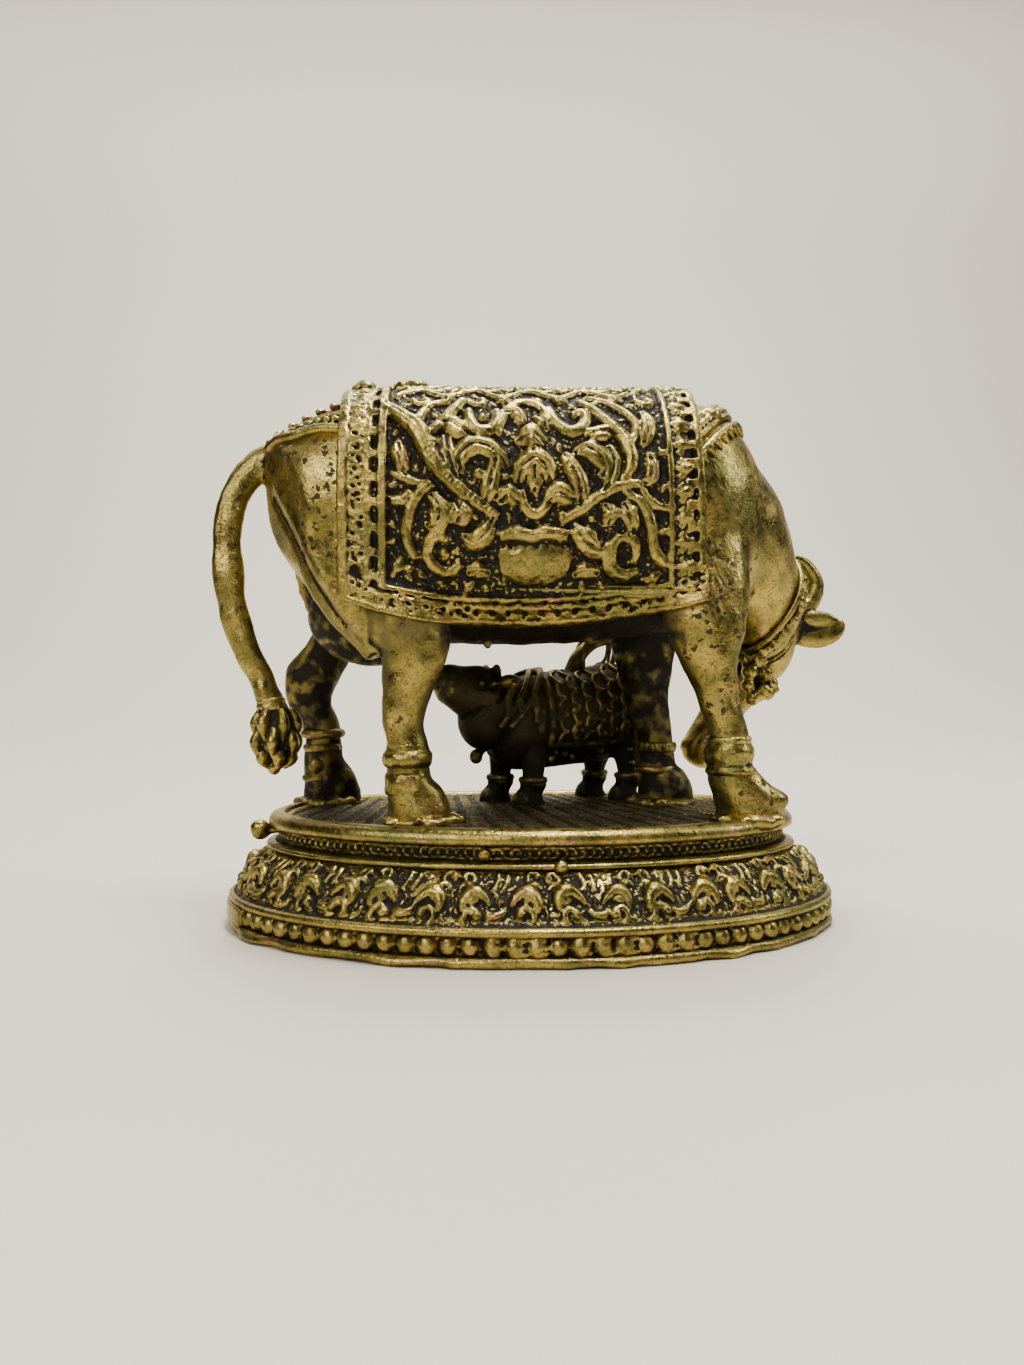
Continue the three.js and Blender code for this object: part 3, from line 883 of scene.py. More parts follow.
def bow_at(x):
    """The hem hangs lower in the middle of the flank than at its ends. This is by how much at x."""
    middle = (CLOTH_REAR + CLOTH_FRONT) / 2
    return SAG * (1 - (2 * (x - middle) / (CLOTH_FRONT - CLOTH_REAR)) ** 2)


def up_flank(z, x=0.0):
    """How far up the table a point lies that shows at the height z."""
    return float((FLANK - from_spine(z) + bow_at(x)) / (1 + bow_at(x) / FLANK))


print("flank of the cloth", round(FLANK, 1), "mm from hem to spine")

# %% Over the muscles
BELOW_SPINE = 0.9


def middle_of_four(height):
    """The mean of the four neighbours of each place of a grid."""
    spread = np.pad(height, 1, mode="edge")
    return (spread[:-2, 1:-1] + spread[2:, 1:-1] + spread[1:-1, :-2] + spread[1:-1, 2:]) / 4


def swelling(side):
    """How far the muscles push the cloth out, on a grid along the trunk and round it."""
    along = np.linspace(CLOTH_REAR - 1.5, CLOTH_FRONT + 1.5, 60)
    around = np.linspace(0, LOWEST, 50)
    height = np.zeros((len(along), len(around)))
    for i, x in enumerate(along):
        for j, point in enumerate(trunk_point(x, around, 0)):
            if around[j] < BELOW_SPINE:
                continue
            meet = on_skin(cow_skin, (x, 0, point[2]), (0, -side, 0))
            height[i, j] = abs(meet.y) - abs(point[1])
    height = np.clip(height, 0, 4)
    for _ in range(5):
        height = np.maximum(height, middle_of_four(height))
    for _ in range(8):
        height = (height + middle_of_four(height)) / 2
    return along, around, height


def looked_up(grid, x, angle):
    """The grid's height at each x and angle, straight between its points."""
    along, around, height = grid
    i = np.clip((x - along[0]) / (along[1] - along[0]), 0, len(along) - 1.001)
    j = np.clip(angle / (around[1] - around[0]), 0, len(around) - 1.001)
    i0, j0 = i.astype(int), j.astype(int)
    fi, fj = i - i0, j - j0
    low = height[i0, j0] * (1 - fj) + height[i0, j0 + 1] * fj
    high = height[i0 + 1, j0] * (1 - fj) + height[i0 + 1, j0 + 1] * fj
    return low * (1 - fi) + high * fi


def on_flank(table, side):
    """Wraps points on the table, across, up and off it, round one flank. side is 1 for the near one."""
    x, up, off = table.T
    share = np.clip(up / FLANK, 0, 1)
    bow = bow_at(x) * (1 - share)
    x = x + 0.7 * (x > 0) * (x / CLOTH_FRONT) * (1 - share) - 0.3
    angle = np.interp(FLANK - up + bow, lengths, angles)
    wrapped = trunk_point(x, angle, off)
    wrapped[:, 1] -= looked_up(swelling(side), x, angle)
    return wrapped * np.array([1, side, 1])


print("the near haunch pushes the cloth out by", round(swelling(1)[2].max(), 1), "mm")

# %% [markdown]
# ## The cloth's borders
# The borders are woven bands with rungs, teeth and small square keys. On the wax they are strips cut
# from a sheet, so here they are bars laid side by side, each with its own height above the table. The
# front border also has three-fingered leaves, drawn with threads. Cutting slots out of a solid band
# would need a boolean for each.

# %% The bars of the borders
# Levels above the table: the sheet's underside, its ground, and the usual top of a band.
UNDERSIDE = -0.7
GROUND = 0.5
BAND_TOP = 0.85


def bars(boxes):
    """Bars on the table, each from its ends across, its ends up, and its bottom and top."""
    put_down()
    bpy.ops.object.add(type="MESH", enter_editmode=True, location=(0, 0, 0))
    for left, right, low, high, bottom, top in boxes:
        middle = ((left + right) / 2, (low + high) / 2, (bottom + top) / 2)
        size = (right - left, high - low, top - bottom)
        bpy.ops.mesh.primitive_cube_add(size=1, location=middle)
        bpy.ops.transform.resize(value=size, center_override=middle)
    put_down()
    return bpy.context.object


def long_bars():
    """The ground of the cloth and the bands that run the whole length of its sides."""
    return [
        (CLOTH_REAR, CLOTH_FRONT - 0.4, 0, FLANK, UNDERSIDE, GROUND),
        (CLOTH_REAR, CLOTH_REAR + 0.75, 0, FLANK, 0, 1.0),
        (CLOTH_REAR + 0.7, -14.3, 0, FLANK, 0, BAND_TOP),
        (-13.7, -12.95, 2.6, FLANK, 0, 1.05),
        (11.35, 11.75, 2.2, FLANK, 0, 0.9),
        (11.7, 13.35, 2.2, FLANK, 0, 0.7),
        (13.95, 14.6, 0, FLANK, 0, 1.0),
        (CLOTH_REAR, 14.6, 0, 0.6, 0, 1.0),
        (CLOTH_REAR, 14.2, 0.5, 1.15, 0, 0.88),
        (-13.5, 11.7, 2.55, 3.0, 0, 0.95), (-14.5, 12.5, 1.75, 2.15, 0, 0.88),
    ]


def short_bars():
    """The rungs of the rear border, the teeth of the front one and the keys of the hem."""
    boxes = []
    rung_pitch = 2.2
    for i in range(int(FLANK / rung_pitch) + 1):
        low = 1.0 + i * rung_pitch
        boxes.append((-14.5, -13.5, low, low + 0.75, 0, 0.9))
    tooth_pitch = 1.9
    for i in range(int((FLANK - 1.5) / tooth_pitch)):
        low = 1.5 + i * tooth_pitch
        boxes.append((13, 14.1, low, low + 0.9, 0, 0.9))
    key_pitch = 1.45
    for i in range(19):
        left = -13.6 + i * key_pitch
        boxes.append((left, left + 0.9, 1.1, 1.8, 0, 0.8 + 0.12 * (i % 2)))
        if i % 3:
            boxes.append((left + 0.2, left + 0.8, 2.1, 2.6, 0, 0.85))
    return boxes


print(len(long_bars()), "long bars and", len(short_bars()), "short ones")

# %% The threads on the borders


def border_threads():
    """Leaves of three fingers up the front border, and two dashes beside each up the rear one."""
    strokes = []
    for i in range(12):
        up = 2.0 + i * 2.2
        strokes.append([(13.5, up, 0.6, 0.42), (12.7, up, 0.65, 0.5), (11.9, up + 0.1, 0.6, 0.25)])
        strokes.append([(13.1, up, 0.6, 0.36), (12.4, up + 0.8, 0.6, 0.34)])
        strokes.append([(13.1, up, 0.6, 0.36), (12.4, up - 0.75, 0.6, 0.34)])
        strokes.append([(-16.2, up + 0.2, 0.7, 0.25), (-15.1, up + 0.2, 0.75, 0.3)])
        strokes.append([(-16, up - 0.7, 0.7, 0.2), (-15.2, up - 0.6, 0.75, 0.25)])
    return strokes


print(len(border_threads()), "threads on the borders")

# %% [markdown]
# ## The potted plant
# A bowl stands over the hem, and a plant grows out of it: a thick bough sweeps back, thinner stems
# scroll on both sides, and buds and leaves fill what is left. The strokes were followed on the
# photograph one by one, as points with a thickness, because a thread of wax swells and tapers too.

# %% Stems of the plant
# A point is across, the height at which it shows from the side, and half the stem's thickness.
STEMS = [
    [
        (-13.2, 47.2, 0.35), (-12, 45.9, 0.6), (-10.3, 44.4, 0.7),
        (-9, 41.6, 0.6), (-6.8, 39.2, 0.5), (-3.3, 36.7, 0.3),
    ],
    [(-10.3, 44.6, 0.5), (-9.9, 46.2, 0.35), (-9, 47.1, 0.3), (-7.6, 47.4, 0.3)],
    [(-9.3, 44, 0.4), (-8, 45.4, 0.4), (-7, 46.6, 0.45), (-6.2, 47.6, 0.35)],
    [(-5.9, 46.4, 0.35), (-5.5, 44.8, 0.5), (-4.4, 44.2, 0.5), (-3.5, 45, 0.4), (-3.3, 46.4, 0.35)],
    [(-9, 39.6, 0.3), (-10.3, 38.4, 0.4), (-11, 36.7, 0.42), (-11.2, 34.6, 0.4), (-10.4, 32.9, 0.3)],
    [
        (-7.6, 34.6, 0.3), (-8.6, 35, 0.45), (-9.4, 33.8, 0.4),
        (-8.8, 32.4, 0.45), (-7.4, 32, 0.4), (-6.5, 32.8, 0.3),
    ],
    [(-12.6, 40.4, 0.2), (-11.4, 40, 0.3), (-10.2, 39.5, 0.3), (-9.2, 39.6, 0.2)],
    [(-12.6, 37.9, 0.35), (-11.5, 38, 0.4), (-10.8, 38.8, 0.25)],
    [
        (-3.4, 44, 0.3), (-2.9, 45.4, 0.35), (-2, 46.9, 0.35),
        (-0.6, 47.4, 0.35), (0.6, 46.8, 0.35), (1.3, 45.4, 0.35),
    ],
    [
        (1.2, 46.6, 0.35), (2.1, 44.9, 0.4), (3.4, 44.3, 0.45),
        (4.3, 45, 0.45), (4.2, 46.1, 0.4), (3.3, 46, 0.3),
    ],
    [
        (4.3, 47.3, 0.35), (5.6, 46, 0.4), (6.9, 44.6, 0.45),
        (8, 42.8, 0.5), (8.2, 41, 0.42), (7.3, 39.5, 0.25),
    ],
    [(8.3, 43.2, 0.35), (8.8, 44.8, 0.35), (8, 46.2, 0.3), (6.6, 47.3, 0.3), (4.9, 47.9, 0.3)],
    [(2, 36.2, 0.3), (4, 37.4, 0.4), (5.7, 38.6, 0.4), (7.4, 39.2, 0.35), (8.9, 39.4, 0.3)],
    [
        (7.4, 38.9, 0.25), (9.1, 37.4, 0.35), (9.8, 35.6, 0.38),
        (10, 33.8, 0.4), (10.6, 32.6, 0.45), (11.6, 31.9, 0.3),
    ],
    [(9, 38.9, 0.2), (9.9, 37.6, 0.35), (11.2, 37, 0.25)],
    [(7.2, 34.9, 0.3), (6.4, 33.8, 0.5), (6.3, 32.4, 0.55), (7.4, 31.5, 0.5), (8.8, 31.7, 0.3)],
    [(7.3, 34.8, 0.35), (8.2, 34.4, 0.42), (8.5, 33.2, 0.35), (8.3, 32.4, 0.25)],
    [(-1.3, 39, 0.3), (-1, 37.6, 0.35), (-0.1, 36.9, 0.4), (0.8, 37.6, 0.35), (1.1, 39, 0.3)],
    [(-3.2, 35, 0.4), (-1.8, 35.3, 0.5), (-0.5, 35.1, 0.45), (0.8, 35.3, 0.5), (2.7, 35, 0.4)],
]
print(len(STEMS), "stems and scrolls")

# %% Leaves, buds and beads of the plant
# Points are given as for the stems. Leaves are pressed flatter. A bead is across, height and radius.
LEAVES = [
    [(-8.4, 45.2, 0.2), (-7.4, 44.8, 0.75), (-6.4, 44.2, 0.7), (-5.4, 43.9, 0.15)],
    [(-7.8, 43.8, 0.35), (-7.6, 42.2, 0.62), (-7.2, 40.8, 0.5), (-6.9, 40, 0.15)],
    [(-12, 43.5, 0.15), (-11.9, 42.3, 0.58), (-11.6, 41.2, 0.55), (-11.3, 40.3, 0.12)],
    [
        (-6.5, 40.4, 0.2), (-6.6, 41.8, 0.6), (-5.6, 42.8, 0.7),
        (-4.2, 42.7, 0.65), (-3, 41.8, 0.5), (-2.5, 41, 0.3),
    ],
    [(-3.4, 42.1, 0.3), (-3.7, 40.6, 0.55), (-4.1, 39, 0.6), (-4.4, 37.8, 0.25)],
    [(-9.1, 38.6, 0.3), (-8.3, 37.2, 0.8), (-8.8, 36, 0.75), (-9.6, 35.9, 0.15)],
    [(-7, 38, 0.35), (-6.6, 37, 0.85), (-6.9, 35.9, 0.6)],
    [(-6.4, 35.2, 0.15), (-5.4, 34.6, 0.7), (-4.3, 35.4, 0.7), (-3.7, 36.6, 0.15)],
    [(-6, 31.9, 0.2), (-5, 32.1, 0.62), (-4, 31.9, 0.3)],
    [(4, 43.2, 0.15), (4.9, 43.8, 0.62), (6.2, 44.1, 0.6), (7, 43.9, 0.2)],
    [(9.5, 46.5, 0.15), (9.9, 45.2, 0.55), (9.7, 43.8, 0.55), (9.3, 42.8, 0.15)],
    [(9.8, 42.2, 0.15), (10, 40.9, 0.48), (9.8, 39.8, 0.5), (9.1, 39.2, 0.15)],
    [(2.4, 42.2, 0.3), (3, 41.2, 0.55), (3.6, 39.8, 0.6), (3.8, 38.4, 0.5), (3.7, 37.6, 0.25)],
    [(3.2, 42.2, 0.2), (4.2, 42.6, 0.62), (5.3, 42, 0.7), (5.9, 40.9, 0.55), (5.6, 40, 0.2)],
    [(6.2, 43, 0.2), (6.7, 41.6, 0.5), (6.4, 40, 0.5), (5.8, 38.8, 0.2)],
    [(5.8, 37.7, 0.2), (6.3, 36.8, 0.68), (6.1, 35.8, 0.3)],
    [(7.4, 37.8, 0.2), (7.9, 36.8, 0.6), (8.2, 35.6, 0.5), (8.2, 35, 0.2)],
    [(3.1, 35.8, 0.3), (4, 34.9, 0.75), (5.3, 34, 0.8), (6, 34.8, 0.2)],
    [(3.2, 31.6, 0.2), (4.2, 32, 0.62), (5.4, 31.7, 0.25)],
    [(-1.7, 43.4, 0.3), (-0.4, 43.6, 1.1), (0.9, 43.2, 0.3)],
    [(-0.4, 44.6, 0.3), (-0.3, 43.4, 0.75), (-0.2, 42.3, 0.2)],
    [(-1.6, 39.6, 0.25), (-1.2, 40.8, 0.7), (-0.1, 41.6, 0.85), (0.9, 40.8, 0.7), (1.2, 39.6, 0.25)],
    [(-0.1, 41, 0.7), (-0.1, 39.6, 0.5), (-0.1, 38.6, 0.15)],
    [(1.1, 37.9, 0.3), (1.8, 38.7, 0.75), (2.9, 38.2, 0.55), (3.3, 37.8, 0.2)],
    [(-3.2, 37.8, 0.2), (-2.4, 38.6, 0.7), (-1.6, 37.9, 0.4)],
    [(-2.6, 46.2, 0.3), (-1.6, 46.1, 0.6), (-1.1, 45.2, 0.35)],
    [(0.2, 46, 0.3), (0.8, 45.2, 0.55), (1, 44.3, 0.2)],
]
CLOTH_BEADS = [
    (-8.8, 43.2, 0.4), (-5, 40.4, 0.4), (-2.6, 40.2, 0.22), (-8, 33.6, 0.3),
    (-5.2, 36.6, 0.2), (2.2, 36.9, 0.25), (4.9, 46.9, 0.3), (10.9, 35, 0.3),
    (9.9, 36.4, 0.2), (-11, 32, 0.3), (-12, 45.9, 0.25), (-4.6, 45.7, 0.3),
]
print(len(LEAVES), "leaves and", len(CLOTH_BEADS), "beads")

# %% The pot
# The pot's middle, the heights at which its foot and rim show, and its half width.
POT_MIDDLE = -0.1
POT_FOOT = 31
POT_RIM = 34.4
POT_HALF = 2.8
# The level on the table where the plant's strokes have their middle.
STROKE_LEVEL = 0.5


def laid(strokes):
    """Strokes drawn by their height on the flank, laid on the table."""
    return [[(x, up_flank(z, x), STROKE_LEVEL, thick) for x, z, thick in stroke] for stroke in strokes]


def pot():
    """The pot's side view: a squat bowl, widest half way up, with rounded edges."""
    put_down()
    low, high = up_flank(POT_FOOT), up_flank(POT_RIM)
    middle = (POT_MIDDLE, (low + high) / 2, STROKE_LEVEL)
    bpy.ops.mesh.primitive_cube_add(size=1, location=middle)
    bowl = bpy.context.object
    bpy.ops.object.mode_set(mode="EDIT")
    bpy.ops.transform.resize(value=(2 * POT_HALF, high - low, 1.3))
    bpy.ops.mesh.subdivide(number_cuts=3)
    bpy.ops.object.mode_set(mode="OBJECT")
    bpy.ops.object.transform_apply()
    places = corners(bowl)
    share = (places[:, 1] - low) / (high - low)
    side = (places[:, 0] - POT_MIDDLE) / POT_HALF
    places[:, 0] = POT_MIDDLE + POT_HALF * side * (0.86 + 0.24 * np.sin(2.6 * share))
    places[:, 2] -= 0.35 * side**2 + 0.35 * (2 * share - 1) ** 2
    move_corners(bowl, places)
    return bowl


print("the pot is", round(up_flank(POT_RIM) - up_flank(POT_FOOT), 1), "mm high on the table")

# %% Along the spine
CURL_ON_SPINE = [(0, 0), (0.5, 0.7), (1.3, 0.7), (1.4, 0.1), (0.9, -0.1)]


def along_spine():
    """Two rows of winding vine, their leaves and curls, and petals on the spine."""
    strokes = []
    for row, away in enumerate((2.9, 5.6)):
        vine = []
        for i in range(23):
            x = -12.4 + 1.06 * i
            vine.append((x, FLANK - away + 0.75 * math.sin(1.25 * x + 2 * row), 0.55, 0.4))
        strokes += [vine[i : i + 5] for i in range(0, 20, 4)]
        for i in range(9):
            x = -12.1 + 1.2 * row + 2.5 * i
            side = 1 if (i + row) % 2 else -1
            y = FLANK - away + side * 0.4
            leaf = [(0, 0, 0.35), (0.8, 0.8, 0.62), (1.5, 0.7, 0.2)]
            strokes.append([(x + u, y + side * v, 0.5, thick) for u, v, thick in leaf])
            strokes.append([(x + u, y - side * (1.5 + v), 0.5, 0.36) for u, v in CURL_ON_SPINE])
    for i in range(11):
        x = -12 + 2.2 * i
        petal = [(0, 0, 0.6, 0.5), (0.6, 0.7, 0.6, 0.55), (0.4, 1.5, 0.5, 0.3)]
        strokes.append([(x + u, FLANK - v, level, thick) for u, v, level, thick in petal])
    return strokes


def knobs_on_spine():
    """The flower behind the rear border and the knobs where the borders cross the spine."""
    strokes = []
    flower = -11.2
    for step in range(5):
        turn = math.radians(45 * step - 180)
        tip = (flower + 1.7 * math.cos(turn), FLANK + 1.5 * math.sin(turn), 1.0, 0.62)
        strokes.append([(flower, FLANK, 1.1, 0.75), tip])
    rear_knob = [(-16.6, 0, 0.9, 0.9), (-15.6, 0.5, 1, 1.15), (-15.1, 1.8, 0.8, 0.6)]
    front_knob = [(11.6, 0, 0.8, 0.6), (12.6, 0.4, 0.8, 0.7), (14, 0.2, 0.8, 0.6)]
    for knob in (rear_knob, front_knob):
        strokes.append([(x, FLANK - down, level, thick) for x, down, level, thick in knob])
    return strokes


print(len(along_spine()), "strokes along the spine and", len(knobs_on_spine()), "for its knobs")

# %% Leaves for the gaps


def gap_leaves(strokes, left, right, low, high, tries, seed):
    """Small leaves and grains for the ground that strokes laid so far leave bare."""
    pick = random.Random(seed)
    taken = np.array([row[[0, 1, 3]] for stroke in strokes for row in through(stroke, 5)])
    filled = []
    for _ in range(tries):
        x, y = pick.uniform(left, right), pick.uniform(low, high)
        room = (np.hypot(taken[:, 0] - x, taken[:, 1] - y) - taken[:, 2]).min()
        if room < 0.42:
            continue
        size = min(0.85 * (room - 0.17), 0.6)
        turn = pick.uniform(0, 2 * math.pi)
        reach = size * pick.uniform(0.6, 1.7)
        over, up = reach * math.cos(turn), reach * math.sin(turn)
        tip = (x - over, y - up, 0.5, 0.4 * size)
        leaf = [tip, (x, y, 0.52, size), (x + over, y + up, 0.5, 0.3 * size)]
        filled.append(leaf)
        taken = np.vstack([taken, [row[[0, 1, 3]] for row in through(leaf, 3)]])
    return filled


def fattened(strokes, times):
    return [[(x, y, level, times * thick) for x, y, level, thick in stroke] for stroke in strokes]


def across_pot(z):
    """A line across the pot at a height, which keeps the small leaves off it."""
    return [(-3, up_flank(z), 0.5, 0.3), (2.8, up_flank(z), 0.5, 0.3)]


stems = fattened(laid(STEMS), 1.45) + along_spine()
broad = fattened(laid(LEAVES), 1.48)
pot_lines = [across_pot(z) for z in (30.6, 31.5, 32.5, 33.5, 34.3)]
small = gap_leaves(stems + broad + pot_lines, -12.5, 11, 3.5, FLANK - 0.6, 3000, 3)
print(len(small), "small leaves fill the gaps")

# %% [markdown]
# ## Melt the cloth and wrap it
# Strokes, bars and leaves are melted into one sheet. Then a fine grain is punched into the ground,
# veins are pressed into the leaves, and pits are punched along the borders. The grain is a Displace
# modifier that a vertex group holds to the ground. Wrapping comes last, because the rest is simpler on
# a flat table. The underside is thinned to a few large squares.

# %% Punches and pits


def chosen(piece, which):
    """Selects, in edit mode, the corners that which is true for."""
    opened(piece)
    bpy.ops.object.mode_set(mode="OBJECT")
    piece.data.vertices.foreach_set("select", which)
    bpy.ops.object.mode_set(mode="EDIT")


def thinned(piece, which, ratio):
    """Nobody sees these parts, so they get far fewer squares."""
    chosen(piece, which)
    bpy.ops.mesh.decimate(ratio=ratio)
    put_down()


def stippled(piece, top, size, height):
    """Punches a fine grain into the ground below a level."""
    ground = piece.vertex_groups.new(name="ground")
    level = corners(piece)[:, 2]
    share = np.clip((top - level) / 0.15, 0, 1) * (level > 0)
    for weight in (0.25, 0.5, 0.75, 1):
        members = np.nonzero((share > weight - 0.25) & (share <= weight))[0]
        ground.add(members.tolist(), weight, "REPLACE")
    pattern = bpy.data.textures.new("grain", "VORONOI")
    pattern.noise_scale = size
    punch = piece.modifiers.new("punch", "DISPLACE")
    punch.texture = pattern
    punch.texture_coords = "LOCAL"
    punch.direction = "Z"
    punch.mid_level = 0.5
    punch.strength = -height
    punch.vertex_group = "ground"
    apply_last(piece)
    piece.vertex_groups.clear()


def punched(piece, spots, depth):
    """Pushes a blunt punch into the table at spots of x, y and radius."""
    places = corners(piece)
    sunk = np.zeros(len(places))
    for x, y, radius in spots:
        away = np.hypot(places[:, 0] - x, places[:, 1] - y) / radius
        sunk = np.maximum(sunk, depth * np.clip(1.6 - away, 0, 1))
    places[:, 2] -= sunk * (places[:, 2] > 0.2)
    move_corners(piece, places)


draws = random.Random(7)
pits = []
for i in range(46):
    pits.append((draws.uniform(-16, -15), draws.uniform(0.8, FLANK - 2), draws.uniform(0.08, 0.2)))
for i in range(90):
    pits.append((draws.uniform(-16.5, 14.6), draws.uniform(0.7, 2.6), draws.uniform(0.05, 0.22)))
pits += [(-15.6, 3.2, 0.45), (-15.65, 3.6, 0.4), (14.5, 3.4, 0.3), (14.2, 2.9, 0.3)]
print(len(pits), "pits in the borders")

# %% Veins


def pressed_flat(piece, lines, width, depth):
    """Presses veins into the leaves on the table, along lines of x and y."""
    places = corners(piece)
    points = np.array([row for line in lines for row in through(line, 8)])
    # Points are sorted into squares of the table, so that a corner meets only those beside it.
    squares = {}
    for x, y in points:
        squares.setdefault((round(x), round(y)), []).append((x, y))
    cells = np.round(places[:, :2]).astype(int)
    order = np.lexsort((cells[:, 1], cells[:, 0]))
    starts = np.nonzero(np.any(np.diff(cells[order], axis=0), axis=1))[0] + 1
    around = [(di, dj) for di in (-1, 0, 1) for dj in (-1, 0, 1)]
    for group in np.split(order, starts):
        i, j = cells[group[0]]
        near = [row for di, dj in around for row in squares.get((i + di, j + dj), [])]
        if near:
            away = ((places[group, None, :2] - np.array(near)) ** 2).sum(2).min(1)
            places[group, 2] -= depth * np.exp(-away / width**2) * (places[group, 2] > 0.75)
    move_corners(piece, places)


veins = [[point[:2] for point in stroke] for stroke in broad if len(stroke) > 2]
bough = [point[:2] for point in stems[0]]
print(len(veins), "leaves get a vein")

# %% Lay out, melt and wrap the cloth
LEAF_FLATNESS = 0.78


def pressed_leaves():
    """The broad leaves as threads, pressed flatter about the level of the strokes."""
    leaves = threads("leaves", broad, 3)
    lifted = Matrix.Translation((0, 0, STROKE_LEVEL))
    flatter = lifted @ Matrix.Diagonal((1, 1, LEAF_FLATNESS, 1)) @ lifted.inverted()
    leaves.data.transform(flatter)
    return leaves


def cloth_sheet(name, fineness):
    """The whole cloth of one flank, flat on the table."""
    leaves = pressed_leaves()
    parts = [bars(long_bars() + short_bars()), threads("border threads", border_threads())]
    parts += [leaves, pot()]
    parts += [threads("stems", stems + small), threads("knobs", knobs_on_spine(), 3)]
    parts += [bead((x, up_flank(z, x), 0.6), 1.3 * size) for x, z, size in CLOTH_BEADS]
    cloth = melted(joined(name, parts), fineness, 1)
    thinned(cloth, corners(cloth)[:, 2] < -0.5, 0.02)
    stippled(cloth, 0.7, 0.48, 0.3)
    pressed_flat(cloth, veins, 0.2, 0.2)
    pressed_flat(cloth, [bough], 0.2, 0.16)
    roughened(cloth, 0.6, 0.07, 2)
    punched(cloth, pits, 0.3)
    return cloth


for name, side, fineness in (("saddle_cloth_near", 1, 0.15), ("saddle_cloth_far", -1, 0.22)):
    cloth = cloth_sheet(name, fineness)
    level = corners(cloth)[:, 2]
    move_corners(cloth, on_flank(corners(cloth), side))
    if side < 0:
        # Wrapping the other way round turned this one inside out.
        opened(cloth, action="SELECT")
        bpy.ops.mesh.flip_normals()
        put_down()
    finish_piece(cloth, base=np.clip((0.74 - level) / 0.22, 0, 0.75))

# %% [markdown]
# ## Head
# She turns her head round and down over her left side, so from the front only an ear, a horn and the
# muzzle show, but the far side shows the whole face. The skull is modelled upright in a frame of its
# own, from the poll to the nose, where a loop can mirror its two sides, and is then turned into place.
# Horns and ears are drawn where they stand.

# %% Skull
POLL = Vector((27, 9.8, 30.4))
NOSE = Vector((18.6, 14.2, 13.2))
BROW = Vector((-0.55, 0.7, 0.45))
along = (NOSE - POLL).normalized()
beside = BROW.cross(along).normalized()
HEAD_PLACE = Matrix((along, beside, along.cross(beside))).transposed().to_4x4()
HEAD_PLACE.translation = POLL
SKULL = [
    (-1.2, 0, -0.6, 1.6, 1.6), (0.4, 0, -0.4, 2.7, 2.8), (2.4, 0, -0.3, 3.1, 3.4),
    (5, 0, -0.4, 3.1, 3.6), (8.4, 0, -0.4, 2.2, 3), (12.6, 0, -0.1, 1.75, 2.3), (15.6, 0, 0, 2, 2.1),
    (17.6, 0, -0.1, 2.4, 2.1), (18.9, 0, -0.2, 1.9, 1.7), (19.4, 0, -0.2, 1, 0.9),
]
JAW = ((4.2, 0, -2.2), (3.6, 2.2, 2), (0, 12, 0))
CHIN = ((16.2, 0, -1.6), (2.2, 1.7, 1))
FOREHEAD = ((1.6, 0, 2.2), (2.2, 2.2, 1))
skull_parts = [limb(SKULL, sides=20), *balls([JAW, CHIN, FOREHEAD])]
for side in (-1, 1):
    eyeball = ((5, side * 2.75, 1.35), (1.05, 0.75, 0.8))
    brow = ((3.9, side * 2.3, 2.2), (1.7, 0.6, 0.45), (0, 0, side * 16))
    nostril = ((17.9, side * 1.6, 0.9), (0.8, 0.75, 0.6))
    skull_parts += balls([eyeball, brow, nostril])
skull = melted(joined("cow_head", skull_parts), 0.18, 3)
print("from poll to nose", round((NOSE - POLL).length, 1), "mm")

# %% Face
# Lines of the blunt tool on the left side of the face, each group with the tool's width and depth.
EYELIDS = [
    [(3.8, 2.9, 1.2), (4.6, 3.3, 1.9), (5.6, 3.2, 1.9), (6.3, 2.6, 1.1)],
    [(3.8, 2.9, 1.1), (4.9, 3.3, 0.7), (6.2, 2.7, 1.0)],
]
NOSTRIL = [(18, 1.9, 1.1), (18.5, 1.5, 0.8), (18.8, 1, 0.9)]
MOUTH = [(19, 0.9, -0.9), (18, 2, -0.9), (16.2, 2.1, -0.8), (14.6, 1.9, -0.9)]
CHEEK = [(6.6, 2.6, -1), (8, 2.3, 0.6), (11, 1.7, 1.1), (14.5, 1.7, 0.9)]
FACE = ((EYELIDS, 0.16, 0.22), ([NOSTRIL], 0.32, 0.45), ([MOUTH], 0.2, 0.3), ([CHEEK], 0.4, 0.14))


def on_side(line, side):
    """The line as it is for 1, and mirrored to the other side for -1."""
    return [(x, side * y, *rest) for x, y, *rest in line]


for side in (-1, 1):
    for lines, width, depth in FACE:
        pressed(skull, [on_side(line, side) for line in lines], width, depth)
pressed(skull, [[(6.4, 0, 3.1), (9, 0, 2.8), (14, 0, 2.1)]], 0.5, -0.16)

HALTER = [
    [(2.2, 3.2, -2.6, 0.3), (2, 3.4, 0, 0.3), (1.6, 2.2, 2.6, 0.3), (1.6, 0, 3.2, 0.3)],
    [(12.2, 1.9, -1.6, 0.25), (12.2, 2.1, 0, 0.25), (12, 1.3, 1.9, 0.25), (12, 0, 2.4, 0.25)],
    [(2.2, 3.3, -0.6, 0.25), (6, 3, -0.7, 0.25), (12.2, 2.1, -0.4, 0.25)],
]
JEWEL = [(2.6, 0, 3.1, 0.5), (3.6, 0, 3.35, 0.75), (4.8, 0, 3.3, 0.35)]
halter = [on_side(strap, side) for side in (-1, 1) for strap in HALTER]
straps = threads("halter", [*halter, JEWEL])
skull = joined("cow_head", [skull, straps])
skull.data.transform(HEAD_PLACE)
print("the halter has", len(halter), "straps and a jewel")

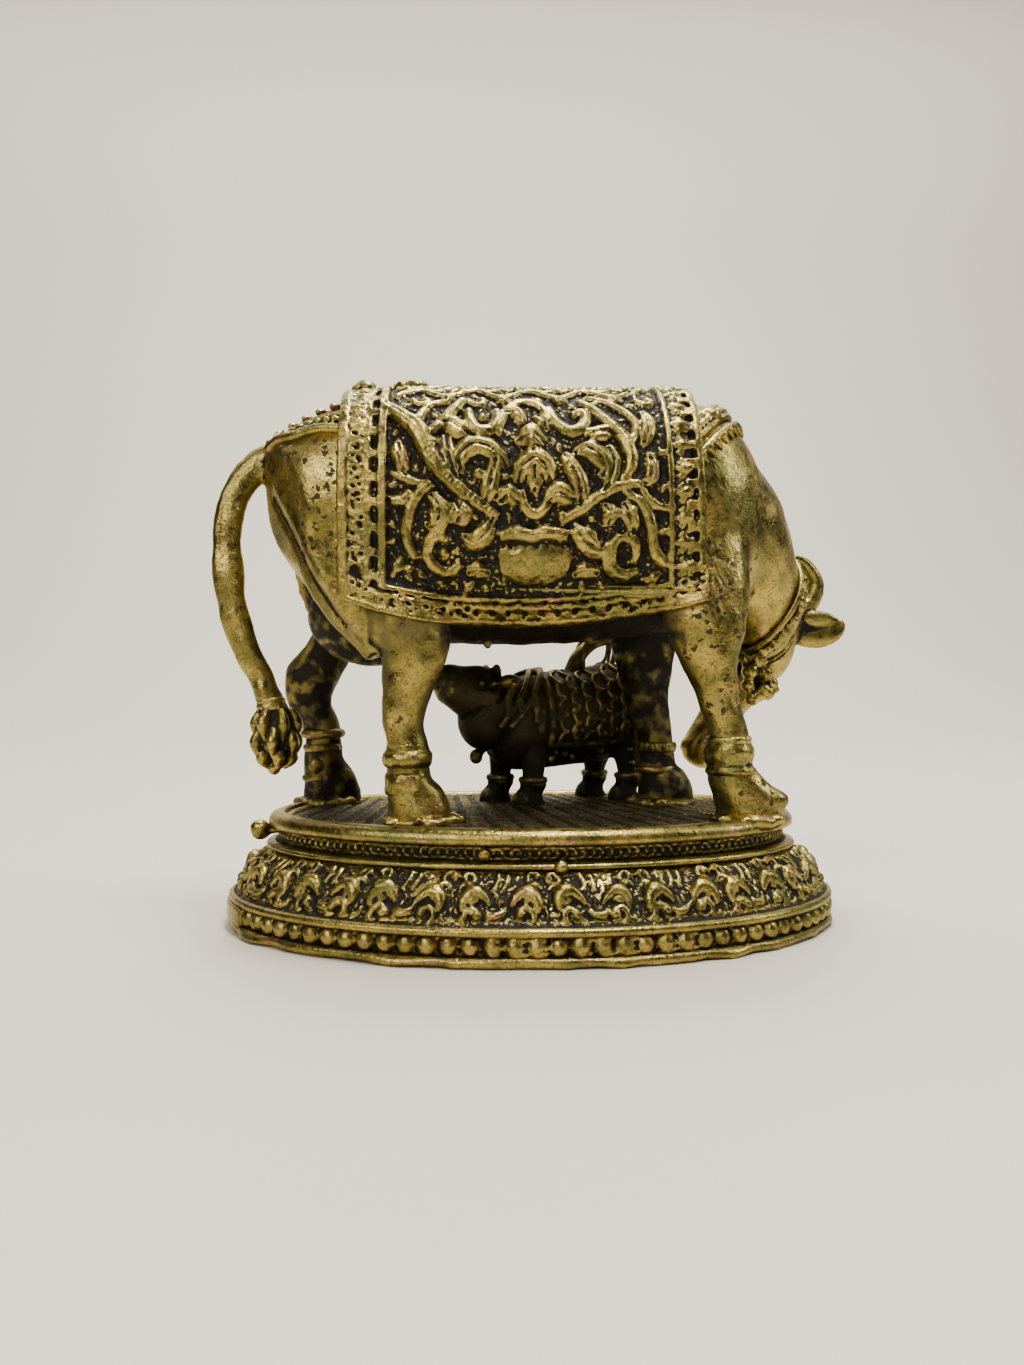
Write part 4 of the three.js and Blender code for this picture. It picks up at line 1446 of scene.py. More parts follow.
# %% Horns and ears
RIGHT_HORN = [
    (27.6, 10.2, 29.8, 1.3, 1.3), (30.3, 11, 30.4, 1.15, 1.15), (31.6, 11.4, 32.8, 0.95, 0.95),
    (30.4, 11, 35, 0.7, 0.7), (28.8, 10.6, 35.8, 0.35, 0.35),
]
LEFT_HORN = [
    (26, 11, 31, 1.3, 1.3), (24.6, 12.6, 32.6, 1.15, 1.15), (24.4, 13.6, 35, 0.95, 0.95),
    (25.8, 13.4, 36.9, 0.7, 0.7), (27, 12.8, 37.4, 0.35, 0.35),
]
RIGHT_EAR = [
    (26.6, 9.9, 28.8, 0.7, 0.9), (28.2, 10, 28.4, 0.8, 1.4), (29.6, 10, 28.1, 0.8, 1.95),
    (31.6, 9.9, 28, 0.75, 2.05), (33.3, 9.8, 28.3, 0.6, 1.5), (34.4, 9.6, 28.8, 0.25, 0.5),
]
LEFT_EAR = [
    (25.2, 8.6, 27.6, 0.6, 0.8), (24.4, 7.8, 26.6, 0.7, 1.3), (23.8, 7.2, 25, 0.65, 1.5),
    (23.2, 6.8, 23.6, 0.5, 1), (22.8, 6.6, 22.6, 0.2, 0.4),
]
RIGHT_EAR_INSIDE = [(28.6, 9.2, 28.2), (30.5, 9.1, 28), (32.6, 9.1, 28.2), (33.6, 9.2, 28.5)]
LEFT_EAR_INSIDE = [(24.9, 8.6, 26), (24.1, 8, 24.6), (23.4, 7.4, 23.4)]
ear = melted(limb(RIGHT_EAR, sides=18, steps=4), 0.15, 2)
pressed(ear, [RIGHT_EAR_INSIDE], 1.1, 0.42)
low_ear = melted(limb(LEFT_EAR, sides=16, top=FORWARD), 0.15, 2)
pressed(low_ear, [LEFT_EAR_INSIDE], 0.6, 0.4)
horns = [limb(RIGHT_HORN, sides=14, steps=4), limb(LEFT_HORN, sides=14, steps=4, top=FORWARD)]
rings = []
for horn in (RIGHT_HORN, LEFT_HORN):
    for x, y, z, wide, _ in through(horn, 3)[2:8]:
        rings.append(bead((x, y, z), wide * 1.04))
print(len(rings), "rings on the horns")

# %% Join the head to the neck
NAPE = [(24.3, 7.2, 28.4, 4, 4.2), (25.6, 8.8, 28.4, 3.2, 3.4), (27, 10, 28.6, 2.2, 2.6)]
nape = limb(NAPE, sides=16)
cow_head = melted(joined("cow_head", [skull, ear, low_ear, nape, *horns, *rings]), 0.19, 1)
finish_piece(cow_head, narrow=6, wide=40)

# %% [markdown]
# ## Trappings
# Straps and strings of beads were laid on the wax body as threads and balls, so each of them follows
# the skin. A ray is cast at the body for each point, and the thread or the bead is put where it meets
# the skin. Shrinkwrap could lay a strap the same way, but not set the beads one by one.

# %% Garland at the throat


def ring_round(skin, middle, facing, angles_round, lift, shift=0.0, reach=7):
    """Points round a limb, in the plane that faces facing, moved by shift along it."""
    facing = Vector(facing).normalized()
    up = (UP - facing * UP.dot(facing)).normalized()
    side = facing.cross(up)
    points = []
    for angle in angles_round:
        way = up * math.cos(angle) + side * math.sin(angle)
        points.append(on_skin(skin, Vector(middle) + facing * shift, way, lift, reach))
    return points


def thread_of(points, thick):
    return [(*point, thick) for point in points]


GARLAND = (cow_skin, (23.8, 6.2, 29.2), (0.74, 0.5, -0.45))
GARLAND_BEADS = 40
round_angles = [2 * math.pi * i / GARLAND_BEADS for i in range(GARLAND_BEADS + 1)]
edges = []
for shift in (-0.95, 0.95):
    edges.append(thread_of(ring_round(*GARLAND, round_angles, 0.25, shift), 0.34))
garland_parts = [threads("garland edges", edges)]
for i, point in enumerate(ring_round(*GARLAND, round_angles[:-1], 0.4)):
    garland_parts.append(bead(point, 0.62 if i % 2 else 0.48))
print(GARLAND_BEADS, "beads on the garland")

# %% Bells at the throat
# A cluster hangs under the garland, each bell a little smaller than the one above it.
CLUSTER = [
    (23.2, 4.6, 24.4), (22.4, 4.2, 23.4), (24, 4.4, 23.2),
    (23.2, 5.2, 22.6), (24.8, 4.7, 22.2), (23.8, 4.3, 21.6),
]
LOW_BELLS = [(22.2, 4.2, 22), (23.3, 4.3, 21), (22.6, 4.2, 20.6), (24.3, 4.5, 21.2)]
garland_parts += [bead(place, 0.95 - 0.06 * i) for i, place in enumerate(CLUSTER)]
garland_parts += [bead(place, 0.75) for place in LOW_BELLS]
CLAPPER = ((25, 4.6, 21.4), (0.7, 0.35, 0.3), (0, -20, 0))
garland_parts += balls([CLAPPER], 2)
garland = melted(joined("garland", garland_parts), 0.17, 1)
finish_piece(garland, narrow=6, wide=20)

# %% [markdown]
# ## Collar and crupper
# A collar of cords, a row of beads and a fringe of pointed teeth runs over the withers, with a boss on
# it. Behind the cloth two beaded straps narrow towards the tail, with leaf-shaped lumps between them.
# Rays lay them on the skin, like the garland.

# %% Collar
COLLAR = (cow_skin, (12.2, -0.6, 39.3), (0.76, -0.2, -0.62))
COLLAR_REACH = 14
half_round = [math.radians(angle) for angle in range(-72, 73, 4)]


def on_collar(lift, shift):
    return ring_round(*COLLAR, half_round, lift, shift, COLLAR_REACH)


collar_parts = []
for shift, thick in ((-1.3, 0.4), (0.1, 0.32), (1.15, 0.4)):
    collar_parts.append(threads("collar line", [thread_of(on_collar(0.3, shift), thick)]))
teeth = []
for base, tip in list(zip(on_collar(0.25, 1.3), on_collar(0.15, 2.3)))[1::2]:
    teeth.append([(*base, 0.5), (*tip, 0.12)])
collar_parts.append(threads("collar teeth", teeth))
for point in on_collar(0.4, -0.6):
    collar_parts.append(bead(point, 0.42))
boss = on_skin(cow_skin, (15.9, -3, 40), (0, -0.35, 1), 0.3)
collar_parts.append(ball(boss, (1.1, 0.9, 0.8), fine=2))
print(len(half_round), "beads and", len(teeth), "teeth on the collar")

# %% Crupper
# How far the straps are from the spine, from the tail to the cloth.
CRUPPER_X = (-25, -24, -22, -17)
CRUPPER_HALF = (1.9, 2.9, 4.8, 6.8)


def on_rump(x, share, lift):
    """A point of the crupper: share is 0 on the spine and 1 or -1 at the strap's edges."""
    across = share * np.interp(x, CRUPPER_X, CRUPPER_HALF)
    return on_skin(cow_skin, (x, across, 40), (0, 0, 1), lift)


crupper_lines = []
for side in (-1, 1):
    for share, thick in ((1, 0.5), (0.78, 0.34)):
        points = [on_rump(x, side * share, 0.15) for x in np.linspace(-24.6, -16.8, 9)]
        crupper_lines.append(thread_of(points, thick))
    for x in np.arange(-24.3, -17, 0.78):
        collar_parts.append(bead(on_rump(x, side * 0.9, 0.35), 0.4))
    for x in np.arange(-24, -17, 1.3):
        for share in (0.2, 0.52):
            lump = on_rump(x + share, side * share, 0.1)
            size = (0.5, 0.55 * (1 + share), 0.42)
            collar_parts.append(ball(lump, size, (0, 0, 40 * side), fine=2))
collar_parts.append(threads("crupper", crupper_lines))
collar = melted(joined("collar_and_crupper", collar_parts), 0.16, 1)
finish_piece(collar, narrow=6, wide=20)

# %% [markdown]
# ## Anklets
# She wears a ring or two above each hoof, and no two legs are quite alike. A torus makes each ring, a
# short limb each broad cuff, and little upright balls the ribbed anklet of the far front leg. The far
# legs stand in the shade of the belly, so their anklets get a painted shade: more stain and a mottled
# brown.

# %% Anklets


def torus(place, radius, thickness, height=1.0):
    """A ring of wax lying level, its section pressed to height times its thickness."""
    put_down()
    squares = {"major_segments": 40, "minor_segments": 12}
    bpy.ops.mesh.primitive_torus_add(
        location=place, major_radius=radius, minor_radius=thickness, **squares
    )
    bpy.ops.transform.resize(value=(1, 1, height))
    bpy.ops.object.transform_apply()
    return bpy.context.object


anklet_parts = []


def cuff(*rings):
    """A broad cuff: each ring is its place and how far it reaches to the sides and forward."""
    anklet_parts.append(limb(rings, top=FORWARD))


x, y, z = ANKLETS["near_hind"]
anklet_parts += [torus((x, y, z), 1.4, 0.9, 1), torus((x, y, z + 1.1), 1.6, 0.3, 1)]
cuff((x, y, z - 1.2, 1.9, 1.9), (x, y, z - 2.2, 2.05, 2.05), (x, y, z - 3.2, 1.95, 2))
x, y, z = ANKLETS["far_hind"]
anklet_parts += [torus((x, y, z + 0.5), 1.7, 0.6, 0.9), torus((x, y, z - 0.9), 1.6, 0.45)]
anklet_parts.append(ball((x - 0.4, y - 2, z - 2.6), (0.85, 0.5, 0.85), fine=2))
anklet_parts.append(torus((x, y, z - 4), 1.7, 0.4))
x, y, z = ANKLETS["near_front"]
anklet_parts += [torus((x, y, z + 0.7), 1.7, 0.4, 0.9), torus((x + 0.2, y, z - 2.1), 1.9, 0.45, 0.9)]
cuff((x, y, z + 0.7, 1.9, 1.9), (x, y, z - 0.5, 2.3, 2.3), (x + 0.1, y, z - 1.8, 2, 2))
x, y, z = ANKLETS["far_front"]
anklet_parts += [torus((x, y, z - 2.3), 1.75, 0.45), torus((x, y, z), 1.75, 0.35, 1.6)]
RIBS = 20
for i in range(RIBS):
    turn = 2 * math.pi * i / RIBS
    place = (x + 1.95 * math.cos(turn), y + 1.95 * math.sin(turn), z)
    anklet_parts.append(ball(place, (0.28, 0.28, 0.62), fine=2))
anklets = melted(joined("anklets", anklet_parts), 0.18, 2)
roughened(anklets, 0.8, 0.12)
# Painted shade: the anklets on the far side get more stain and a mottled brown.
far_side = (corners(anklets)[:, 1] > 0).astype(float)
in_shade = 0.9 * far_side
finish_piece(anklets, narrow=6, wide=16, deep=0.1, base=0.1 + 0.3 * far_side, painted_shade=in_shade)

# %% [markdown]
# ## Tail tuft
# The tuft is cast as a bud: an egg of metal with three rows of pointed leaves that overlap, and two
# rings where it meets the tail. Hair would give a soft brush, but the maker drew leaves of wax, so each
# is one thread, thick in the middle and thin at its tip.

# %% Tail tuft
TUFT = Vector((-23.9, -2.6, 17.6))
# A row of leaves: the heights of its tips and of its tops, its radius and how many leaves it has.
LEAF_ROWS = ((-0.6, 2.3, 1.75, 6), (-2.2, 0.6, 1.85, 6), (-3.3, -1.2, 1.3, 5))
tuft_parts = [ball(TUFT, (1.75, 1.75, 2.9)), ball(TUFT + Vector((-0.2, 0, -2.9)), (0.7, 0.7, 1))]
tuft_parts.append(torus(TUFT + Vector((-0.5, 0, 3)), 1, 0.38))
tuft_parts.append(torus(TUFT + Vector((-0.4, 0, 2.45)), 1.15, 0.32))
leaf_strokes = []
for row, (low, high, wide, count) in enumerate(LEAF_ROWS):
    tip_share = 0.95 if row < 2 else 0.5
    for i in range(count):
        turn = 2 * math.pi * (i + 0.5 * (row % 2)) / count
        out = Vector((math.cos(turn), math.sin(turn), 0))
        top = TUFT + out * wide * 0.75 + UP * high
        middle = TUFT + out * (wide + 0.15) + UP * (low + high) / 2
        tip = TUFT + out * wide * tip_share + UP * low
        leaf_strokes.append([(*top, 0.35), (*middle, 0.62), (*tip, 0.15)])
tuft_parts.append(threads("tuft leaves", leaf_strokes))
tail_tuft = melted(joined("tail_tuft", tuft_parts), 0.14, 1)
finish_piece(tail_tuft, narrow=6, wide=30)

# %% [markdown]
# ## The hide's finish
# The hide is left as it came from the mould: slightly uneven, with pits where the clay crumbled on the
# rump and the chest. Between the legs, under the belly, on the front and back of the near legs and on
# the tail's inner side, where shade falls, the hide gets a painted shade: more stain and a mottled brown.
# Such patches could be painted on, but a rule by place and facing gives the same edges each time.

# %% Uneven hide
tail_lines = []
for shift in (-0.55, 0.1, 0.6):
    tail_lines.append([(x + shift, y - wide, z) for x, y, z, wide, _ in TAIL[1:7]])
pressed(cow_body, tail_lines, 0.3, 0.14)
places = corners(cow_body)
covered = (np.abs(places[:, 0] + 1.2) < 14.6) & (places[:, 2] > 33)
thinned(cow_body, covered, 0.06)
roughened(cow_body, 3, 0.08)
places = corners(cow_body)
on_tail = eased(places[:, 0], -24.4, -0.8) * (np.abs(places[:, 2] - 31) < 12)
on_legs = eased(places[:, 2], 29, -3) * (1 - on_tail)
roughened(cow_body, 2.8, 0.22, 11, on_tail)
roughened(cow_body, 1.6, 0.16, 8, 0.3 + 0.7 * on_legs)
roughened(cow_body, 0.9, 0.03, 4)
print(round(100 * covered.mean()), "percent of the hide lay under the cloth and was thinned")

# %% Painted shade and pitted places
x, y, z = corners(cow_body).T
# Painted shade between the legs and under the belly.
inner = eased(y, -6.2, 1.2) * ((x > -22.5) | (y > 1)) * eased(z, 32, -2) * eased(x, 19, -3)
belly = eased(z, 30.5, -2) * eased(z, 25, 1.5) * (np.abs(x + 1) < 14)
rump = eased(x, -22.5, 2) * (x < -16) * eased(z, 31, 3)
fore_leg = (x > 11) * (y < 0) * eased(z, 28, -3)
chest = eased(x, 13.5, 1) * (x < 19) * eased(z, 35, -3) * (z > 25) * (y < 0)
ways = outward_of(cow_body)[:, 0]
# Painted shade on the near legs' front and back sides, and on the tail's side that faces the body.
leg_side = eased(np.abs(ways), 0.55, 0.3) * on_legs * (y < 0)
tail_inside = eased(ways, 0.55, 0.3) * on_tail
finish_piece(
    cow_body,
    narrow=5,
    wide=12,
    deep=0.1,
    base=0.4 * belly + 0.6 * inner + 0.5 * leg_side + 0.5 * tail_inside - 0.2,
    painted_shade=np.clip(inner + 0.6 * belly + 0.55 * leg_side, 0, 0.95),
    pitted=np.clip(rump + 0.6 * chest + 0.3 * inner + 0.32 * fore_leg + 0.22 * (y < 0), 0, 1),
)

# %% [markdown]
# ## Calf
# The calf stands under her, facing back, and lifts its muzzle to the udder. It wears a cloth of
# overlapping scales, crossed straps and a bell, like its mother. It is modelled facing +X, where its
# two sides can share numbers, and is turned into place when it is done.

# %% The calf's trunk, legs and head
CALF_TURN = math.radians(205)
CALF_PLACE = Matrix.Translation((3.9, 8.7, 0)) @ Matrix.Rotation(CALF_TURN, 4, "Z")
CALF_TRUNK = [
    (-8.8, 0, 20.4, 1.2, 1.4), (-8, 0, 19.8, 2.8, 3.7), (-5.4, 0, 19.3, 3.6, 5.2),
    (-1, 0, 18.6, 3.9, 4.9), (3.4, 0, 18.4, 3.9, 5), (6.6, 0, 17.9, 3.3, 4.4), (8.6, 0, 17.2, 1.6, 2.4),
]
CALF_NECK = [(3.4, 0, 19.4, 3, 3.6), (7.6, 0.2, 19.2, 2.7, 3.6), (10.6, 0.5, 20.4, 2.1, 2.5)]
CALF_HEAD = [
    (8, 0.3, 21, 1.8, 2.2), (9.4, 0.4, 21.2, 2.4, 2.7), (11.2, 0.6, 21.4, 2.2, 2.7),
    (12.8, 0.8, 21.9, 1.75, 2.2), (14, 0.9, 22.3, 1.75, 1.9), (14.9, 1, 22.4, 1, 1.1),
]
# Where the legs stand, and how bulky a fore leg and a hind leg are.
CALF_FEET = ((4.9, 2.3), (6.3, -2.2), (-6.6, 2.2), (-5.2, -2.2))
FORE_BULK = 1
HIND_BULK = 1.35
calf_parts = [limb(CALF_TRUNK, sides=20, facing=FORWARD), limb(CALF_NECK), limb(CALF_HEAD)]
calf_parts.append(ball((9.6, 0.4, 18.6), (2.6, 2.4, 3.1)))
for x, y in CALF_FEET:
    bulk = HIND_BULK if x < 0 else FORE_BULK
    calf_leg = [
        (x - 0.1, y * 0.8, 18, 1.5 * bulk, 2 * bulk),
        (x - 0.1 * bulk, y * 0.95, 14.8, 1.2, 1.4 * bulk),
        (x, y, 12.8, 1.05, 1.1),
        (x, y, 12.2, 1.4, 1.45),
        (x + 0.2, y, 11.4, 1.1, 1.2),
        (x + 0.5, y, 10.5, 1.35, 1.8),
        (x + 0.5, y, ROOT, 1.35, 1.8),
    ]
    calf_parts.append(limb(calf_leg, sides=12, top=FORWARD))
print("the calf is", round(CALF_HEAD[-1][0] - CALF_TRUNK[0][0], 1), "mm long")

# %% The calf's ears, eyes and tail
# The tail loops forward over the rump: x, y, z and half its thickness.
CALF_TAIL = [
    (-8.2, 0, 21.4, 0.8), (-9.4, 0, 24, 0.7), (-7.6, 0, 26.6, 0.65), (-4.4, 0, 26.7, 0.65),
    (-2, 0, 25.2, 0.8), (-0.8, 0, 23, 0.9),
]
for side in (-1, 1):
    calf_ear = [
        (8.6, 0.3 + side * 1.4, 22, 0.6, 0.5),
        (8, 0.3 + side * 2.9, 22.4, 1.15, 0.8),
        (7.5, 0.3 + side * 4, 22.5, 0.4, 0.3),
    ]
    eyeball = ((10.9, 0.6 + side * 2.05, 22.3), (0.55, 0.45, 0.5))
    cheek_knob = ((9.5, 0.4 + side * 2.2, 22.2), (0.45, 0.45, 0.45))
    nostril = ((14.3, 0.9 + side * 0.8, 22.9), (0.45, 0.45, 0.4))
    horn_bud = ((8.6, 0.3 + side * 1.2, 23.4), (0.5, 0.5, 0.8))
    calf_parts += [limb(calf_ear, sides=10), *balls([eyeball, cheek_knob, nostril, horn_bud])]
calf_parts.append(threads("calf tail", [CALF_TAIL], 3, 8))
calf_body = melted(joined("calf", calf_parts), 0.215, 3)
calf_skin = skin_of(calf_body)
EYE_RADIUS = 0.65
for side in (-1, 1):
    for x, y in ((10.9, 0.6 + side * 2.3), (9.5, 0.4 + side * 2.4)):
        eye_ring = []
        for turn in np.linspace(0, 6.3, 7):
            eye_ring.append((x + EYE_RADIUS * math.cos(turn), y, 22.25 + EYE_RADIUS * math.sin(turn)))
        pressed(calf_body, [eye_ring], 0.25, 0.25)
    lips = [(14.9, 0.9 + side * 0.4, 21.9), (14.2, 0.9 + side * 1.2, 21.7), (12.8, 0.8 + side * 1.3, 21.4)]
    pressed(calf_body, [lips], 0.15, 0.2)
    pressed(calf_body, [[(14.7, 0.9 + side * 0.7, 22.9), (14.9, 0.9 + side * 0.4, 22.7)]], 0.2, 0.25)
print("the calf's body has", len(calf_body.data.vertices), "corners")

# %% The calf's cloth and straps
CLOTH_START = -6.6
CLOTH_END = 3.6
SCALE_ROWS = 6
SCALES_DOWN = 5


def round_calf(x, degrees, lift):
    """A point on the calf's skin at x along it, so many degrees down from its spine."""
    angle = math.radians(degrees)
    return on_skin(calf_skin, (x, 0, 18.8), (0, math.sin(angle), math.cos(angle)), lift)


def calf_strap(route, lift, thick):
    """A strap through points of x and degrees."""
    return thread_of([round_calf(x, degrees, lift) for x, degrees in route], thick)


calf_straps = []
for side in (-1, 1):
    for row in range(SCALE_ROWS):
        x = -5.8 + row * 1.5
        for i in range(SCALES_DOWN):
            middle = side * (14 + 24 * i + 12 * (row % 2))
            scale = []
            for t in (-1, -0.8, -0.4, 0, 0.4, 0.8, 1):
                scale.append((x + 0.9 * math.sqrt(1 - t * t), middle + 12 * t))
            calf_straps.append(calf_strap(scale, 0.12, 0.24))
    for x in (CLOTH_START, CLOTH_END):
        hem = [(x, side * degrees) for degrees in range(0, 131, 10)]
        calf_straps.append(calf_strap(hem, 0.2, 0.34))
    hem = [(x, side * 128) for x in np.linspace(CLOTH_START, CLOTH_END, 9)]
    calf_straps.append(calf_strap(hem, 0.2, 0.34))
    for shift in (0, 1.3):
        sloped = [(2.8 + shift + 0.045 * degrees, side * degrees) for degrees in range(0, 111, 10)]
        calf_straps.append(calf_strap(sloped, 0.22, 0.36))
    for x, low in ((5.2, 100), (6.6, 95), (8, 85)):
        collar_cord = [(x, side * degrees) for degrees in range(50, low, 8)]
        calf_straps.append(calf_strap(collar_cord, 0.2, 0.42))
print(len(calf_straps), "threads on the calf")

# %% The calf's lumps, bells and anklets
trap_parts = [threads("calf straps", calf_straps)]
for i in range(60):
    place = round_calf(draws.uniform(-6.4, 3.4), draws.choice((-1, 1)) * draws.uniform(70, 150), 0.1)
    size = (draws.uniform(0.2, 0.5), draws.uniform(0.2, 0.45), draws.uniform(0.2, 0.5))
    trap_parts.append(ball(place, size, fine=2))
# Lumps on both sides: how far along, how many degrees down, and their size.
SIDE_LUMPS = ((8, 75, (0.55, 0.45, 1.1)), (4.7, 95, (0.7, 0.5, 1.5)), (2.9, 88, (0.35, 0.4, 0.7)))
for side in (-1, 1):
    trap_parts += balls([(round_calf(x, side * down, 0), size) for x, down, size in SIDE_LUMPS], 2)
BELL_CORD = [(8, 0.2, 17, 0.8), (9.4, 0.3, 15.8, 0.5), (10.3, 0.3, 15, 0.4)]
trap_parts.append(threads("bell cord", [BELL_CORD]))
trap_parts.append(ball((10.3, 0.3, 14.9), (0.7, 0.7, 0.8), fine=2))
for x, y in CALF_FEET:
    trap_parts.append(torus((x, y, 12.5), 1.15, 0.36))
calf_trappings = melted(joined("calf_trappings", trap_parts), 0.185, 1)
for piece in (calf_body, calf_trappings):
    piece.data.transform(CALF_PLACE)
    # Painted shade: the calf, under the cow, is darkened all over and more towards its feet.
    low = eased(corners(piece)[:, 2], 20.5, -5)
    shade = 0.8 + 0.15 * low
    finish_piece(piece, narrow=5, wide=12, deep=0.12, base=0.5 + 0.2 * low, painted_shade=shade)

# %% [markdown]
# ## Plinth
# The plinth is an oval turned to a moulding: a foot with a row of beads, a sloping band of scrolled
# leaves, a narrow neck and a rounded rim. The moulding is one ring of points for each line of its
# profile, each extruded from the one below. A spun circle, stretched to an oval, would have a wider
# moulding at its ends than at its sides. The ornamented bands are modelled flat and then bent round the
# oval, as a founder wraps a strip of stamped wax.

# %% The moulding's profile
PLINTH_LENGTH = 57
PLINTH_DEPTH = 40
# How far in from the oval's edge each line is, and its height.
PROFILE = [
    (6, 0), (0.8, 0), (0.3, 0.04), (0.08, 0.2), (0, 0.45), (0.05, 0.72),
    (0.3, 0.9), (0.75, 0.96), (0.75, 2.35), (0.45, 2.42), (0.1, 2.5), (0, 2.75),
    (0.08, 3.02), (0.3, 3.14), (0.6, 3.2), (1, 3.5), (1.5, 4.5), (2.4, 5.7),
    (3.7, 6.9), (3.9, 7.0), (3.75, 7.1), (3.45, 7.2), (3.4, 7.35), (3.5, 7.55),
    (3.8, 7.65), (4.5, 7.7), (4.78, 7.8), (4.78, 8.85), (4.4, 8.97), (3.9, 9.0),
    (3.62, 9.15), (3.6, 9.45), (3.68, 9.8), (3.95, 10.14), (4.5, 10.35), (4.9, 10.35),
    (5.2, 10.15), (5.4, 9.7),
]


def half_sizes(inset):
    """Half the length and half the depth of the oval, inset from its edge."""
    return PLINTH_LENGTH / 2 - inset, PLINTH_DEPTH / 2 - inset


print("the moulding rises to", max(height for _, height in PROFILE), "mm")

# %% The moulding


def plinth_core():
    """The oval is drawn once and extruded from line to line of the profile."""
    put_down()
    inset, height = PROFILE[0]
    bpy.ops.mesh.primitive_circle_add(vertices=240, radius=1, location=(0, 0, 0), enter_editmode=True)
    bpy.ops.transform.resize(value=(*half_sizes(inset), 1))
    for new_inset, new_height in PROFILE[1:]:
        rise = (0, 0, new_height - height)
        bpy.ops.mesh.extrude_edges_move(TRANSFORM_OT_translate={"value": rise})
        long_share, deep_share = np.divide(half_sizes(new_inset), half_sizes(inset))
        bpy.ops.transform.resize(value=(long_share, deep_share, 1), center_override=(0, 0, new_height))
        inset, height = new_inset, new_height
    return skinned_over()


core = plinth_core()
core.name = "plinth_moulding"
heights = corners(core)[:, 2]
low_edge = np.clip((0.95 - heights) / 0.5, 0.1, 1) * (heights > 0.02)
roughened(core, 3, 0.3, 5, low_edge)
roughened(core, 0.9, 0.12, 9, low_edge)
# Lumps along the front of the foot: where they are, how long and how thick.
FOOT_LUMPS = ((-11.6, 1.6, 0.5), (-7.4, 0.9, 0.3), (-24.6, 1.2, 0.4), (5.5, 2.2, 0.25), (15, 1.6, 0.3))
places = corners(core)
for x, reach, thick in FOOT_LUMPS:
    swell = thick * np.exp(-(((places[:, 0] - x) / reach) ** 2))
    swell = swell * (places[:, 1] < -2) * (places[:, 2] < 0.7)
    places[:, :2] *= 1 + swell[:, None] / 24
move_corners(core, places)
finish_piece(core, narrow=2, wide=12)

# %% [markdown]
# ## Strips bent round the oval
# A strip lies on the table from 0 to the oval's own length. Each corner moves to the place on the
# moulding that is as far round and as far up, and is lifted off it by its height above the table. A
# Curve modifier can bend a strip too, but this one also follows the slope. It is cut square at both
# ends, which meet at the plinth's back.

# %% Strips bent round the oval


def oval_lengths(inset):
    """Angles round the oval, from the middle of its back, and the edge's length up to each."""
    turns = np.linspace(0, 2 * math.pi, 2000) + math.pi / 2
    half_length, half_depth = half_sizes(inset)
    edge = np.stack([half_length * np.cos(turns), half_depth * np.sin(turns)], -1)
    return turns, length_along(edge)


def on_wall(table, band):
    """Bends points on the table round the oval and up the band's profile."""
    band = np.array(band, float)
    up_length = length_along(band)
    turns, edge_length = oval_lengths(band[:, 0].mean())
    along, up, off = table.T

    def skin_point(along, up):
        turn = np.interp(along, edge_length, turns)
        half_length, half_depth = half_sizes(np.interp(up, up_length, band[:, 0]))
        z = np.interp(up, up_length, band[:, 1])
        return np.stack([half_length * np.cos(turn), half_depth * np.sin(turn), z], -1)

    # The way out is square to a short step along the wall and a short step up it.
    step = 0.05
    here = skin_point(along, up)
    inner = np.clip(along, 2 * step, edge_length[-1] - 2 * step)
    up_inner = np.clip(up, step, up_length[-1] - step)
    ahead = skin_point(inner + step, up_inner) - skin_point(inner - step, up_inner)
    above = skin_point(inner, up_inner + step) - skin_point(inner, up_inner - step)
    out = np.cross(ahead, above)
    out /= np.linalg.norm(out, axis=1)[:, None]
    return here + out * off[:, None]


def bent_strip(name, parts, band, length, fineness, softening=1, grain_size=None):
    """Melts a flat strip, cuts it square at both ends and bends it until the ends meet."""
    squares = round(length / (fineness * COARSE))
    strip = melted(joined(name, parts), length / squares / COARSE, softening)
    thinned(strip, corners(strip)[:, 2] < -0.4, 0.02)
    if grain_size:
        stippled(strip, 0.22, grain_size, 0.12)
    for place, way in ((0, -1), (length, 1)):
        opened(strip, action="SELECT")
        end = {"plane_co": (place, 0, 0), "plane_no": (way, 0, 0)}
        bpy.ops.mesh.bisect(use_fill=True, clear_outer=True, **end)
    put_down()
    level = corners(strip)[:, 2]
    move_corners(strip, on_wall(corners(strip), band))
    return strip, level


print("the foot's edge is", round(oval_lengths(0)[1][-1], 1), "mm round")

# %% [markdown]
# ## The frieze of leaves
# The band repeats one unit nineteen times: two leaves that face each other over curled stems, two short
# bars and a crescent, with grains between them. It was stamped with a worn tool, so no two units are
# alike. Each is drawn again from the same strokes, with its own shifts, wear and lean. An Array
# modifier would repeat it without a fault.

